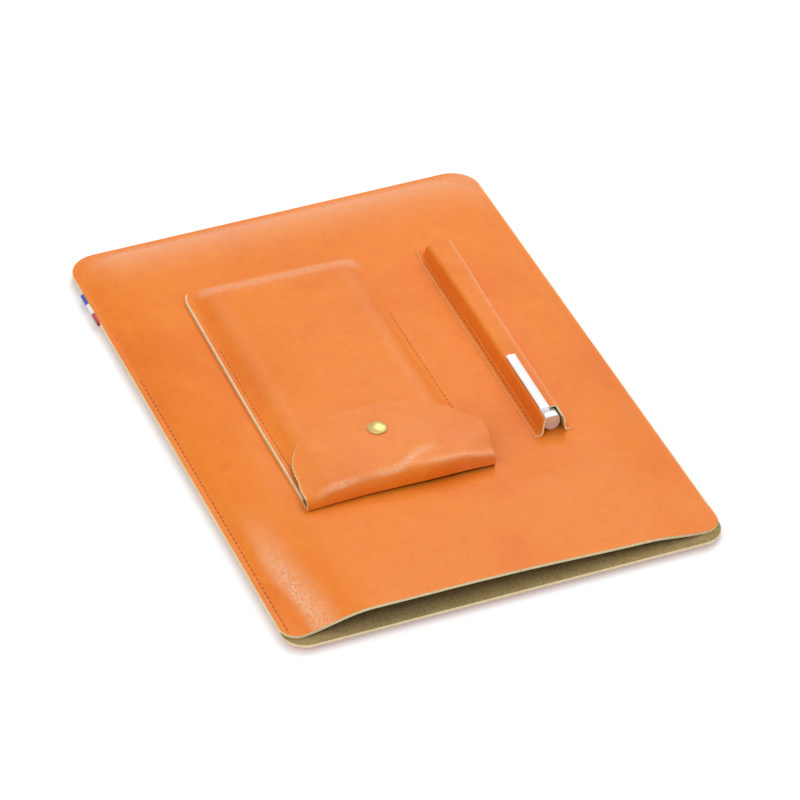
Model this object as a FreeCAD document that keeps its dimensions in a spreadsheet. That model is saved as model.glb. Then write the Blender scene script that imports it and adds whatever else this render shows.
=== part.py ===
import FreeCAD, Part
import math
import os
import Sketcher
from FreeCAD import Placement, Rotation, Vector

doc = FreeCAD.newDocument("TabletSleeve")
sheet = doc.addObject("Spreadsheet::Sheet", "Sizes")
sizes = {
    # sleeve: two panels sewn on three sides, open at the near short side
    "sleeve_width": 222,
    "sleeve_length": 324,
    "sleeve_corner": 15,
    "panel_leather": 1.5,
    "mouth_setback": 6,
    "mouth_corner": 12,
    "tablet_gap": 6.2,
    "panel_flange": 7,
    "panel_slope": 15,
    "panel_bend": 14,
    # stitching
    "seam_inset": 3,
    "stitch_pitch": 3.5,
    "stitch_length": 2.5,
    "thread_width": 0.7,
    "thread_rise": 0.35,
    # striped ribbon caught in the left seam
    "ribbon_setback": 29.8,
    "ribbon_band": 8.4,
    "ribbon_thickness": 0.5,
    "ribbon_tuck": 5,
    "ribbon_out": 1.4,
    # phone pocket and the flap that grows out of its back layer
    "pocket_middle": -22.8,
    "pocket_half": 48,
    "pocket_far": 101,
    "pocket_mouth": -72,
    "pocket_corner": 11,
    "pocket_leather": 1,
    "pocket_flange": 5.5,
    "pocket_slope": 10,
    "pocket_bend": 9,
    "phone_gap": 4.5,
    "snap_gap": 2.3,
    "fold_front": -80.5,
    "fold_radius": 2.2,
    "crease_gap": 0.3,
    "slip": 0.05,
    "flap_shoulder_half": 45.3,
    "flap_shoulder": -51,
    "flap_cheek_half": 33,
    "flap_cheek": -30,
    "flap_tip": -24.5,
    "flap_shoulder_round": 24,
    "flap_cheek_round": 15,
    "flap_tip_round": 70,
    # press snap
    "snap_x": -22,
    "snap_y": -44,
    "snap_cap_radius": 5,
    "snap_cap_rise": 1.8,
    "snap_post_radius": 1.4,
    "snap_ring_radius": 4.1,
    "snap_bore_radius": 2.5,
    "snap_head_radius": 1.75,
    "snap_metal": 0.4,
    "snap_wire": 0.2,
    # pen sleeve
    "pen_x": 62.3,
    "pen_lean": 0.95,
    "pen_sleeve_half": 5.7,
    "pen_sleeve_flange": 4.2,
    "pen_sleeve_mouth": -67.5,
    "pen_sleeve_far": 95,
    "pen_sleeve_batter": 0.5,
    "pen_sleeve_ramp": 3.5,
    "pen_sleeve_bend": 1.8,
    "pen_room": 9,
    "pen_notch": 7.5,
    # pen
    "pen_end": -65.5,
    "pen_length": 142,
    "pen_lift": 0.3,
    "cap_radius": 4.2,
    "cap_length": 62,
    "cap_bore": 3.85,
    "finial_length": 2.2,
    "barrel_radius": 4.1,
    "barrel_bore": 3.3,
    "barrel_tail_radius": 3.5,
    "section_radius": 3.5,
    "section_length": 22,
    "section_waist": 3.1,
    "nib_length": 21,
    "nib_radius": 2.7,
    "nib_metal": 0.3,
    "converter_radius": 2.9,
    "converter_length": 56,
    "clip_width": 5,
    "clip_length": 45.5,
    "clip_metal": 0.8,
    "clip_clear": 0.3,
    "clip_start": 3,
}
for row, (name, value) in enumerate(sizes.items(), 1):
    sheet.set("A%d" % row, name)
    sheet.set("B%d" % row, str(value))
    sheet.setAlias("B%d" % row, name)
doc.recompute()


def number(formula):
    return float(sheet.evalExpression(formula))


def bind(item, prop, formula):
    item.setExpression(prop, str(formula))


def new_body(label, lift=None):
    body = doc.addObject("PartDesign::Body", label)
    body.Label = label
    if lift:
        bind(body, "Placement.Base.z", lift)
    return body


def new_sketch(body, name, role="XY_Plane", lift=None):
    sketch = body.newObject("Sketcher::SketchObject", name)
    for plane in body.Origin.OriginFeatures:
        if plane.Role == role:
            sketch.AttachmentSupport = [(plane, "")]
    sketch.MapMode = "FlatFace"
    if lift:
        bind(sketch, "AttachmentOffset.Base.z", lift)
    return sketch


def pin(sketch, geometry, point, kind, formula):
    value = number(formula)
    if abs(value) < 1e-6:
        axis = -2 if kind == "DistanceX" else -1
        sketch.addConstraint(Sketcher.Constraint("PointOnObject", geometry, point, axis))
        return
    index = sketch.addConstraint(Sketcher.Constraint(kind, -1, 1, geometry, point, value))
    bind(sketch, "Constraints[%d]" % index, formula)


def polygon(sketch, corners):
    first = sketch.GeometryCount
    spots = [Vector(number(x), number(y), 0) for x, y in corners]
    count = len(spots)
    for i in range(count):
        sketch.addGeometry(Part.LineSegment(spots[i], spots[(i + 1) % count]), False)
    for i in range(count):
        sketch.addConstraint(Sketcher.Constraint("Coincident", first + i, 2, first + (i + 1) % count, 1))
    for i, (x, y) in enumerate(corners):
        pin(sketch, first + i, 1, "DistanceX", x)
        pin(sketch, first + i, 1, "DistanceY", y)


def rectangle(sketch, left, right, near, far):
    polygon(sketch, [(left, near), (right, near), (right, far), (left, far)])


def circle(sketch, x, y, radius):
    index = sketch.GeometryCount
    middle = Vector(number(x), number(y), 0)
    sketch.addGeometry(Part.Circle(middle, Vector(0, 0, 1), number(radius)), False)
    pin(sketch, index, 3, "DistanceX", x)
    pin(sketch, index, 3, "DistanceY", y)
    mark = sketch.addConstraint(Sketcher.Constraint("Radius", index, number(radius)))
    bind(sketch, "Constraints[%d]" % mark, radius)


def pad(body, sketch, name, length):
    item = body.newObject("PartDesign::Pad", name)
    item.Profile = sketch
    bind(item, "Length", length)
    doc.recompute()
    return item


def pocket(body, sketch, name, depth, reverse=False):
    item = body.newObject("PartDesign::Pocket", name)
    item.Profile = sketch
    item.Reversed = reverse
    before = body.Shape.Volume
    bind(item, "Length", depth)
    doc.recompute()
    if body.Shape.Volume > before - 1e-6:
        raise ValueError(name + " cut nothing")
    return item


def loft(body, kind, name, foot, crest):
    item = body.newObject("PartDesign::" + kind, name)
    item.Profile = foot
    item.Sections = [crest]
    item.Ruled = True
    doc.recompute()
    return item


def round_edges(body, name, test, radius):
    base = body.Tip
    picked = []
    for i, edge in enumerate(base.Shape.Edges):
        if test(edge.BoundBox):
            picked.append("Edge%d" % (i + 1))
    item = body.newObject("PartDesign::Fillet", name)
    item.Base = (base, picked)
    bind(item, "Radius", radius)
    doc.recompute()
    if item.Shape.isNull() or not item.Shape.isValid():
        raise ValueError(name + " did not round")
    return item


def upright(box):
    return box.ZLength > 0.1 and box.XLength < 0.001 and box.YLength < 0.001


# heights above the underside of the back panel
front_top = "(2*Sizes.panel_leather + Sizes.tablet_gap)"
pocket_front_base = "(%s + Sizes.pocket_leather)" % front_top
pocket_top = "(%s + Sizes.phone_gap + Sizes.pocket_leather)" % pocket_front_base
flap_under = "(%s + Sizes.snap_gap)" % pocket_top
pen_axis = "(%s + Sizes.pen_lift + Sizes.cap_radius)" % front_top
pen_roof = "(%s + Sizes.pen_room + Sizes.pocket_leather)" % front_top
mouth_edge = "(Sizes.mouth_setback - Sizes.sleeve_length/2)"
pocket_left = "(Sizes.pocket_middle - Sizes.pocket_half)"
pocket_right = "(Sizes.pocket_middle + Sizes.pocket_half)"


def formed_panel(label, lift, sides, corner, near_corner, leather,
                 flange, batter, ramp, rise, wall, bend):
    # sheet with a raised pan: flat sewn edge on three sides, pan open at the near end
    left, right, near, far = sides
    body = new_body(label, lift)
    outline = new_sketch(body, label + "_outline")
    rectangle(outline, left, right, near, far)
    pad(body, outline, label + "_sheet", leather)
    front_line = number(near)

    def far_corner(box):
        return upright(box) and box.YMin > front_line + 1

    def mouth_corner(box):
        return upright(box) and box.YMin < front_line + 1

    round_edges(body, label + "_far_corners", far_corner, corner)
    round_edges(body, label + "_near_corners", mouth_corner, near_corner)

    def pan(kind, name, base, inset, front):
        edge = "(%s + %s)" % (flange, inset)
        side = "(%s + %s)" % (edge, batter)
        end = "(%s + %s)" % (edge, ramp)
        low = new_sketch(body, name + "_foot", lift=base)
        low_left = "%s + %s" % (left, edge)
        low_right = "%s - %s" % (right, edge)
        rectangle(low, low_left, low_right, front, "%s - %s" % (far, edge))
        high = new_sketch(body, name + "_crest", lift="%s + %s" % (base, rise))
        high_left = "%s + %s" % (left, side)
        high_right = "%s - %s" % (right, side)
        rectangle(high, high_left, high_right, front, "%s - %s" % (far, end))
        loft(body, kind, name, low, high)
        top = number("%s + %s" % (base, rise))
        tall = number(rise)

        def slanted(box):
            reaches = abs(box.ZMax - top) < 0.01 and box.ZLength > 0.4 * tall
            return reaches and box.YMin > front_line

        def crest(box):
            level = abs(box.ZMin - top) < 0.01 and abs(box.ZMax - top) < 0.01
            return level and box.YMax > front_line + 0.01

        round_edges(body, name + "_corner_bend", slanted, "%s - %s" % (bend, inset))
        round_edges(body, name + "_crest_bend", crest, "%s - %s" % (bend, inset))

    pan("AdditiveLoft", label + "_pan", leather, "0", near)
    pan("SubtractiveLoft", label + "_hollow", "0", wall, "%s - 5" % near)
    return body


half_width = "Sizes.sleeve_width/2"
half_length = "Sizes.sleeve_length/2"
front_panel = formed_panel(
    "front_panel", "Sizes.panel_leather",
    ("-" + half_width, half_width, mouth_edge, half_length),
    "Sizes.sleeve_corner", "Sizes.panel_flange/2", "Sizes.panel_leather",
    "Sizes.panel_flange", "Sizes.panel_slope", "Sizes.panel_slope",
    "Sizes.tablet_gap", "0", "Sizes.panel_bend")
pocket_front = formed_panel(
    "pocket_front", pocket_front_base,
    (pocket_left, pocket_right, "Sizes.pocket_mouth", "Sizes.pocket_far"),
    "Sizes.pocket_corner", "Sizes.pocket_flange/2", "Sizes.pocket_leather",
    "Sizes.pocket_flange", "Sizes.pocket_slope", "Sizes.pocket_slope",
    "Sizes.phone_gap", "0", "Sizes.pocket_bend")
holder_left = "(Sizes.pen_x - Sizes.pen_sleeve_half - Sizes.pen_sleeve_flange)"
holder_right = "(Sizes.pen_x + Sizes.pen_sleeve_half + Sizes.pen_sleeve_flange)"
pen_sleeve = formed_panel(
    "pen_sleeve", front_top,
    (holder_left, holder_right, "Sizes.pen_sleeve_mouth", "Sizes.pen_sleeve_far"),
    "Sizes.pen_sleeve_flange/2", "Sizes.pen_sleeve_flange/2", "Sizes.pocket_leather",
    "Sizes.pen_sleeve_flange", "Sizes.pen_sleeve_batter",
    "Sizes.pen_sleeve_ramp", "Sizes.pen_room", "Sizes.pocket_leather", "Sizes.pen_sleeve_bend")

# notch in the roof of the pen sleeve, so that the pen's end and clip root show
notch = new_sketch(pen_sleeve, "pen_sleeve_notch", lift="Sizes.pen_room - Sizes.pen_sleeve_bend")
inner_half = "(Sizes.pen_sleeve_half - Sizes.pocket_leather - Sizes.pen_sleeve_batter)"
rectangle(notch, "Sizes.pen_x - " + inner_half, "Sizes.pen_x + " + inner_half,
          "Sizes.pen_sleeve_mouth - 2", "Sizes.pen_sleeve_mouth + Sizes.pen_notch")
notch_depth = "Sizes.pen_sleeve_bend + 2*Sizes.pocket_leather"
pocket(pen_sleeve, notch, "pen_sleeve_notch_cut", notch_depth, reverse=True)

# rivet hole of the snap in the pocket's front
hole_floor = "Sizes.phone_gap - Sizes.pocket_leather"
hole = new_sketch(pocket_front, "pocket_front_rivet_hole", lift=hole_floor)
circle(hole, "Sizes.snap_x", "Sizes.snap_y", "Sizes.snap_post_radius + Sizes.slip")
pocket(pocket_front, hole, "pocket_front_rivet_cut", "3*Sizes.pocket_leather", reverse=True)

# back panel with a shallow seat for the ribbon
back_panel = new_body("back_panel")
outline = new_sketch(back_panel, "back_panel_outline")
rectangle(outline, "-" + half_width, half_width, "-" + half_length, half_length)
pad(back_panel, outline, "back_panel_sheet", "Sizes.panel_leather")
round_edges(back_panel, "back_panel_far_corners", lambda box: upright(box) and box.YMin > 0,
            "Sizes.sleeve_corner")
round_edges(back_panel, "back_panel_near_corners", lambda box: upright(box) and box.YMin < 0,
            "Sizes.mouth_corner")
ribbon_far = "(Sizes.sleeve_length/2 - Sizes.ribbon_setback)"
ribbon_near = "(%s - 3*Sizes.ribbon_band)" % ribbon_far
seat = new_sketch(back_panel, "ribbon_seat", lift="Sizes.panel_leather - Sizes.ribbon_thickness")
rectangle(seat, "-Sizes.sleeve_width/2 - 1", "Sizes.ribbon_tuck - Sizes.sleeve_width/2",
          ribbon_near, ribbon_far)
pocket(back_panel, seat, "ribbon_seat_cut", "Sizes.panel_leather", reverse=True)

ribbon_tab = new_body("ribbon_tab", "Sizes.panel_leather - Sizes.ribbon_thickness")
strip = new_sketch(ribbon_tab, "ribbon_outline")
rectangle(strip, "-Sizes.sleeve_width/2 - Sizes.ribbon_out", "Sizes.ribbon_tuck - Sizes.sleeve_width/2",
          ribbon_near, ribbon_far)
pad(ribbon_tab, strip, "ribbon_fold", "Sizes.ribbon_thickness")


# fold of the pocket's back layer: two bends joined by an upright strip
half_leather = "(Sizes.pocket_leather/2)"
bend_y = "(Sizes.fold_front + %s + Sizes.fold_radius)" % half_leather
low_bend_z = "(%s + %s + Sizes.fold_radius)" % (front_top, half_leather)
high_bend_z = "(%s + %s - Sizes.fold_radius)" % (flap_under, half_leather)
crease_step = "(Sizes.fold_radius*sqrt(2)/2)"
crease_y = "(%s - %s)" % (bend_y, crease_step)
low_crease_z = "(%s - %s)" % (low_bend_z, crease_step)
high_crease_z = "(%s + %s)" % (high_bend_z, crease_step)


def rod(name, radius, y, z, start=0, angle=360):
    item = doc.addObject("Part::Cylinder", name)
    item.Placement.Rotation = Rotation(Vector(0, 1, 0), 90) * Rotation(Vector(0, 0, 1), start)
    item.Angle = angle
    bind(item, "Radius", radius)
    bind(item, "Height", "2*Sizes.pocket_half")
    bind(item, "Placement.Base.x", pocket_left)
    bind(item, "Placement.Base.y", y)
    bind(item, "Placement.Base.z", z)
    return item


def cut(name, base, tool):
    item = doc.addObject("Part::Cut", name)
    item.Base = base
    item.Tool = tool
    return item


def fuse(name, shapes):
    item = doc.addObject("Part::MultiFuse", name)
    item.Shapes = shapes
    item.Refine = True
    return item


def bend_strip(name, z, start):
    # an eighth of a turn of leather round the bend's axis
    outer = rod(name + "_outer", "Sizes.fold_radius + " + half_leather, bend_y, z, start, 45)
    inner = rod(name + "_inner", "Sizes.fold_radius - " + half_leather, bend_y, z, start, 45)
    return cut(name, outer, inner)


pocket_sheet = new_body("pocket_back_sheet", front_top)
outline = new_sketch(pocket_sheet, "pocket_back_outline")
rectangle(outline, pocket_left, pocket_right, bend_y, "Sizes.pocket_far")
pad(pocket_sheet, outline, "pocket_back_leather", "Sizes.pocket_leather")
far_line = number("Sizes.pocket_far")
round_edges(pocket_sheet, "pocket_back_corners", lambda box: upright(box) and box.YMax > far_line - 1,
            "Sizes.pocket_corner")
pocket_bend = fuse("pocket_back_whole", [pocket_sheet, bend_strip("pocket_back_bend", low_bend_z, -45)])
crease_room = "%s + Sizes.crease_gap" % half_leather
pocket_back = cut("pocket_back", pocket_bend, rod("pocket_back_crease", crease_room, crease_y, low_crease_z))

riser = doc.addObject("Part::Box", "flap_fold_riser")
bind(riser, "Length", "2*Sizes.pocket_half")
bind(riser, "Width", "Sizes.pocket_leather")
bind(riser, "Height", "%s - %s" % (high_bend_z, low_bend_z))
bind(riser, "Placement.Base.x", pocket_left)
bind(riser, "Placement.Base.y", "Sizes.fold_front")
bind(riser, "Placement.Base.z", low_bend_z)
flap_fold = fuse("flap_fold", [
    riser,
    bend_strip("flap_fold_low_bend", low_bend_z, -90),
    bend_strip("flap_fold_high_bend", high_bend_z, -135),
    rod("flap_fold_low_roll", half_leather, crease_y, low_crease_z),
    rod("flap_fold_high_roll", half_leather, crease_y, high_crease_z)])

flap_sheet = new_body("closing_flap_sheet", flap_under)
outline = new_sketch(flap_sheet, "closing_flap_outline")
middle = "Sizes.pocket_middle"
polygon(outline, [
    (pocket_left, bend_y),
    (pocket_right, bend_y),
    (middle + " + Sizes.flap_shoulder_half", "Sizes.flap_shoulder"),
    (middle + " + Sizes.flap_cheek_half", "Sizes.flap_cheek"),
    (middle, "Sizes.flap_tip"),
    (middle + " - Sizes.flap_cheek_half", "Sizes.flap_cheek"),
    (middle + " - Sizes.flap_shoulder_half", "Sizes.flap_shoulder")])
pad(flap_sheet, outline, "closing_flap_leather", "Sizes.pocket_leather")
shoulder_line = number("Sizes.flap_shoulder")
cheek_line = number("Sizes.flap_cheek")
tip_line = number("Sizes.flap_tip")


def corner_at(line):
    return lambda box: upright(box) and abs(box.YMax - line) < 0.1


round_edges(flap_sheet, "flap_shoulders", corner_at(shoulder_line), "Sizes.flap_shoulder_round")
round_edges(flap_sheet, "flap_cheeks", corner_at(cheek_line), "Sizes.flap_cheek_round")
round_edges(flap_sheet, "flap_point", corner_at(tip_line), "Sizes.flap_tip_round")
hole = new_sketch(flap_sheet, "flap_rivet_hole", lift="-Sizes.pocket_leather")
circle(hole, "Sizes.snap_x", "Sizes.snap_y", "Sizes.snap_post_radius + Sizes.slip")
pocket(flap_sheet, hole, "flap_rivet_cut", "3*Sizes.pocket_leather", reverse=True)
flap_bend = fuse("closing_flap_whole", [flap_sheet, bend_strip("closing_flap_bend", high_bend_z, -180)])
flap_crease = rod("closing_flap_crease", crease_room, crease_y, high_crease_z)
closing_flap = cut("closing_flap", flap_bend, flap_crease)
doc.recompute()


def turned(label, corners, role, x, y, z):
    # body of revolution: corners are (radius, distance along the axis)
    body = new_body(label)
    profile = new_sketch(body, label + "_profile", role)
    polygon(profile, corners)
    item = body.newObject("PartDesign::Revolution", label + "_turn")
    item.Profile = profile
    item.ReferenceAxis = (profile, ["V_Axis"])
    item.Angle = 360
    bind(body, "Placement.Base.x", x)
    bind(body, "Placement.Base.y", y)
    bind(body, "Placement.Base.z", z)
    doc.recompute()
    return body


def snap_piece(label, corners, z):
    return turned(label, corners, "XZ_Plane", "Sizes.snap_x", "Sizes.snap_y", z)


def pen_piece(label, corners):
    return turned(label, corners, "XY_Plane", "Sizes.pen_x", "Sizes.pen_end", pen_axis)


# snap: domed cap riveted through the flap into the socket, stud riveted through the pocket's front
post = "Sizes.snap_post_radius"
socket_floor = "(Sizes.snap_gap - Sizes.snap_metal - Sizes.crease_gap)"
socket_roof = "(2*Sizes.snap_metal)"
snap_cap = snap_piece("snap_cap", [
    ("0", "-Sizes.pocket_leather - 0.6*%s" % socket_roof),
    (post, "-Sizes.pocket_leather - 0.6*%s" % socket_roof),
    (post, "0"),
    ("Sizes.snap_cap_radius", "0"),
    ("Sizes.snap_cap_radius", "Sizes.snap_cap_rise*0.3"),
    ("Sizes.snap_cap_radius*0.62", "Sizes.snap_cap_rise*0.85"),
    ("0", "Sizes.snap_cap_rise")], "%s + Sizes.pocket_leather" % flap_under)
bore = "Sizes.snap_bore_radius"
ring = "Sizes.snap_ring_radius"
snap_socket = snap_piece("snap_socket", [
    (post + " + Sizes.slip", "0"),
    (post + " + Sizes.slip", "-" + socket_roof),
    (bore, "-" + socket_roof),
    (bore, "-" + socket_floor),
    (ring + "*0.8", "-" + socket_floor),
    (ring, "-0.55*" + socket_floor),
    (ring, "0")], flap_under)
stud_head = "(Sizes.snap_gap - %s - Sizes.crease_gap)" % socket_roof
snap_stud = snap_piece("snap_stud", [
    (post + " + Sizes.slip", "0"),
    (ring + "*0.85", "0"),
    (ring + "*0.85", "Sizes.snap_metal"),
    ("Sizes.snap_head_radius*0.85", "Sizes.snap_metal"),
    ("Sizes.snap_head_radius", "Sizes.snap_metal + 0.6*(%s - Sizes.snap_metal)" % stud_head),
    ("Sizes.snap_head_radius*0.8", stud_head),
    (post + "*0.6", stud_head),
    (post + "*0.6", "Sizes.snap_metal"),
    (post + " + Sizes.slip", "Sizes.snap_metal")], pocket_top)
snap_eyelet = snap_piece("snap_eyelet", [
    (post + "*0.6", "Sizes.pocket_leather + Sizes.snap_metal"),
    (post + "*0.6", "-0.75*Sizes.snap_metal"),
    (ring + "*0.75", "-0.75*Sizes.snap_metal"),
    (ring + "*0.75", "0"),
    (post, "0"),
    (post, "Sizes.pocket_leather + Sizes.snap_metal")], "%s - Sizes.pocket_leather" % pocket_top)
wire = "(2*Sizes.snap_wire)"
snap_spring = snap_piece("snap_spring", [
    (bore + " - Sizes.slip/2", "-0.9*" + socket_floor),
    (bore + " - Sizes.slip/2", "%s - 0.9*%s" % (wire, socket_floor)),
    ("%s - Sizes.slip/2 - %s" % (bore, wire), "%s - 0.9*%s" % (wire, socket_floor)),
    ("%s - Sizes.slip/2 - %s" % (bore, wire), "-0.9*" + socket_floor)], flap_under)

# pen: cap end at the mouth, distances run inward from the flat end
cap_end = "Sizes.cap_length"
joint_line = "(Sizes.cap_length + Sizes.crease_gap)"
cap_finial = pen_piece("cap_finial", [
    ("0", "0"),
    ("Sizes.cap_radius*0.8", "0"),
    ("Sizes.cap_radius", "Sizes.cap_radius*0.2"),
    ("Sizes.cap_radius", "Sizes.finial_length"),
    ("Sizes.cap_bore*0.8 - Sizes.slip", "Sizes.finial_length"),
    ("Sizes.cap_bore*0.8 - Sizes.slip", "2*Sizes.finial_length"),
    ("0", "2*Sizes.finial_length")])
pen_cap = pen_piece("pen_cap", [
    ("Sizes.cap_bore*0.8", "Sizes.finial_length"),
    ("Sizes.cap_radius", "Sizes.finial_length"),
    ("Sizes.cap_radius", cap_end + " - 1.5"),
    ("Sizes.cap_radius", cap_end + " - 0.4"),
    ("Sizes.cap_radius - 0.3", cap_end),
    ("Sizes.cap_bore", cap_end),
    ("Sizes.cap_bore", "2*Sizes.finial_length"),
    ("Sizes.cap_bore*0.8", "2*Sizes.finial_length")])
section_tip = "(%s - Sizes.section_length)" % joint_line
inner_cap = pen_piece("inner_cap", [
    ("0", "2*Sizes.finial_length"),
    ("Sizes.cap_bore - Sizes.slip", "2*Sizes.finial_length"),
    ("Sizes.cap_bore - Sizes.slip", section_tip + " - 1"),
    ("Sizes.cap_bore - 0.6", section_tip + " - 1"),
    ("Sizes.cap_bore - 0.6", "2*Sizes.finial_length + 1.5"),
    ("0", "2*Sizes.finial_length + 1.5")])
tail = "Sizes.pen_length"
pen_barrel = pen_piece("pen_barrel", [
    ("Sizes.barrel_bore", joint_line),
    ("Sizes.barrel_radius", joint_line),
    ("Sizes.barrel_radius", joint_line + " + 45"),
    ("Sizes.barrel_tail_radius", tail + " - 1"),
    ("Sizes.barrel_tail_radius - 1", tail),
    ("0", tail),
    ("0", tail + " - 4"),
    ("Sizes.barrel_bore*0.7", tail + " - 4"),
    ("Sizes.barrel_bore", joint_line + " + 62")])
stub = "(%s + 9)" % joint_line
nib_root = "(%s + Sizes.nib_length/2)" % section_tip
nib_tip = "(%s - 0.8*Sizes.nib_length)" % section_tip
grip_section = pen_piece("grip_section", [
    ("Sizes.nib_radius", section_tip),
    ("Sizes.section_waist + 0.25", section_tip),
    ("Sizes.section_waist", section_tip + " + 3"),
    ("Sizes.section_radius", joint_line + " - 1"),
    ("Sizes.section_radius", joint_line),
    ("Sizes.barrel_bore - Sizes.slip", joint_line),
    ("Sizes.barrel_bore - Sizes.slip", stub),
    ("Sizes.converter_radius*0.6", stub),
    ("Sizes.converter_radius*0.6", nib_root),
    ("Sizes.nib_radius", nib_root)])
ink_converter = pen_piece("ink_converter", [
    ("0", stub + " - 5"),
    ("Sizes.converter_radius*0.6 - Sizes.slip", stub + " - 5"),
    ("Sizes.converter_radius*0.6 - Sizes.slip", stub),
    ("Sizes.converter_radius", stub),
    ("Sizes.converter_radius", stub + " + 0.72*Sizes.converter_length"),
    ("Sizes.converter_radius*0.75", stub + " + 0.72*Sizes.converter_length"),
    ("Sizes.converter_radius*0.75", stub + " + 0.8*Sizes.converter_length"),
    ("Sizes.converter_radius*0.62", stub + " + Sizes.converter_length"),
    ("0", stub + " + Sizes.converter_length")])

# nib: a rolled sheet that tapers to the writing point, cut to plan with a breather hole and a slit
sheet_out = "(Sizes.nib_radius - Sizes.slip)"
sheet_in = "(%s - Sizes.nib_metal)" % sheet_out
nib_shoulder = "(%s + 0.6*Sizes.nib_length)" % nib_tip
nib_roll = pen_piece("nib_roll", [
    (sheet_in, nib_root),
    (sheet_out, nib_root),
    (sheet_out, nib_shoulder),
    ("2*Sizes.nib_metal", nib_tip),
    ("Sizes.nib_metal", nib_tip),
    (sheet_in, nib_shoulder)])
nib_plan = new_body("nib_plan")
for prop, formula in (("x", "Sizes.pen_x"), ("y", "Sizes.pen_end"), ("z", pen_axis)):
    bind(nib_plan, "Placement.Base." + prop, formula)
outline = new_sketch(nib_plan, "nib_outline", lift="Sizes.nib_metal/2")
polygon(outline, [
    ("-0.75*Sizes.nib_radius", nib_root),
    ("-0.95*Sizes.nib_radius", nib_shoulder),
    ("-Sizes.nib_metal", nib_tip),
    ("Sizes.nib_metal", nib_tip),
    ("0.95*Sizes.nib_radius", nib_shoulder),
    ("0.75*Sizes.nib_radius", nib_root)])
pad(nib_plan, outline, "nib_blank", "Sizes.nib_radius")
breather = new_sketch(nib_plan, "breather_hole")
circle(breather, "0", "%s + 0.5*Sizes.nib_length" % nib_tip, "1.5*Sizes.nib_metal")
pocket(nib_plan, breather, "breather_cut", "2*Sizes.nib_radius", reverse=True)
slit = new_sketch(nib_plan, "nib_slit")
rectangle(slit, "-Sizes.nib_metal/4", "Sizes.nib_metal/4",
          nib_tip + " - 1", "%s + 0.5*Sizes.nib_length" % nib_tip)
pocket(nib_plan, slit, "nib_slit_cut", "2*Sizes.nib_radius", reverse=True)
pen_nib = doc.addObject("Part::Common", "pen_nib")
pen_nib.Base = nib_roll
pen_nib.Tool = nib_plan

# feed under the nib, with ring fins
feed_out = "(%s - Sizes.slip)" % sheet_in
fin = "Sizes.nib_length/45"
feed_front = "(%s - 0.5*Sizes.nib_length)" % section_tip
corners = [("0", nib_root), (feed_out, nib_root)]
for i in range(4):
    step = "(%s - %d*%s)" % (section_tip, 2 * i, fin)
    corners.append((feed_out, step))
    corners.append((feed_out + "*0.75", step))
    corners.append((feed_out + "*0.75", "%s - %s" % (step, fin)))
    corners.append((feed_out, "%s - %s" % (step, fin)))
corners.append((feed_out, "%s - 0.18*Sizes.nib_length" % section_tip))
corners.append((feed_out + "*0.45", feed_front))
corners.append(("0", feed_front))
nib_feed = pen_piece("nib_feed", corners)

# clip: one bent strip, footed on the cap and lying over the roof of the pen sleeve
clip_body = new_body("clip_strip")
bind(clip_body, "Placement.Base.y", "Sizes.pen_end + Sizes.clip_start")
side = new_sketch(clip_body, "clip_side", "YZ_Plane", lift="Sizes.pen_x - Sizes.clip_width/2")
clip_low = "(%s + Sizes.clip_clear)" % pen_roof
clip_high = "(%s + Sizes.clip_metal)" % clip_low
polygon(side, [
    ("0", "%s + Sizes.cap_radius/2" % pen_axis),
    ("2*Sizes.clip_metal", "%s + Sizes.cap_radius/2" % pen_axis),
    ("2*Sizes.clip_metal", clip_low),
    ("Sizes.clip_length - 4*Sizes.clip_metal", clip_low),
    ("Sizes.clip_length", clip_low + " + Sizes.clip_metal/2"),
    ("Sizes.clip_length", clip_high + " + Sizes.clip_metal/2"),
    ("Sizes.clip_length - 4*Sizes.clip_metal", clip_high),
    ("0", clip_high)])
pad(clip_body, side, "clip_bar", "Sizes.clip_width")
clip_end = number("Sizes.clip_length")
clip_top = number(clip_high)
round_edges(clip_body, "clip_tip_round", corner_at(clip_end), "Sizes.clip_width/4")


def clip_heel(box):
    return box.XLength > 1 and box.YMax < 0.01 and box.ZMin > clip_top - 0.01


round_edges(clip_body, "clip_heel_round", clip_heel, "Sizes.clip_metal")
cap_core = doc.addObject("Part::Cylinder", "clip_saddle")
cap_core.Placement.Rotation = Rotation(Vector(1, 0, 0), -90)
bind(cap_core, "Radius", "Sizes.cap_radius")
bind(cap_core, "Height", "Sizes.cap_length")
bind(cap_core, "Placement.Base.x", "Sizes.pen_x")
bind(cap_core, "Placement.Base.y", "Sizes.pen_end")
bind(cap_core, "Placement.Base.z", pen_axis)
pen_clip = cut("pen_clip", clip_body, cap_core)

doc.recompute()


def seam_path(left, right, near, far, corner):
    # three sides of a rounded outline, from the near left end to the near right end
    low_left = Vector(left, near, 0)
    up_left = Vector(left, far - corner, 0)
    far_left = Vector(left + corner, far, 0)
    far_right = Vector(right - corner, far, 0)
    up_right = Vector(right, far - corner, 0)
    low_right = Vector(right, near, 0)
    step = corner * (1 - math.sqrt(0.5))
    left_arc = Part.Arc(up_left, Vector(left + step, far - step, 0), far_left)
    right_arc = Part.Arc(far_right, Vector(right - step, far - step, 0), up_right)
    edges = [Part.makeLine(low_left, up_left), left_arc.toShape(), Part.makeLine(far_left, far_right)]
    edges.extend([right_arc.toShape(), Part.makeLine(up_right, low_right)])
    return Part.Wire(edges)


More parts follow.
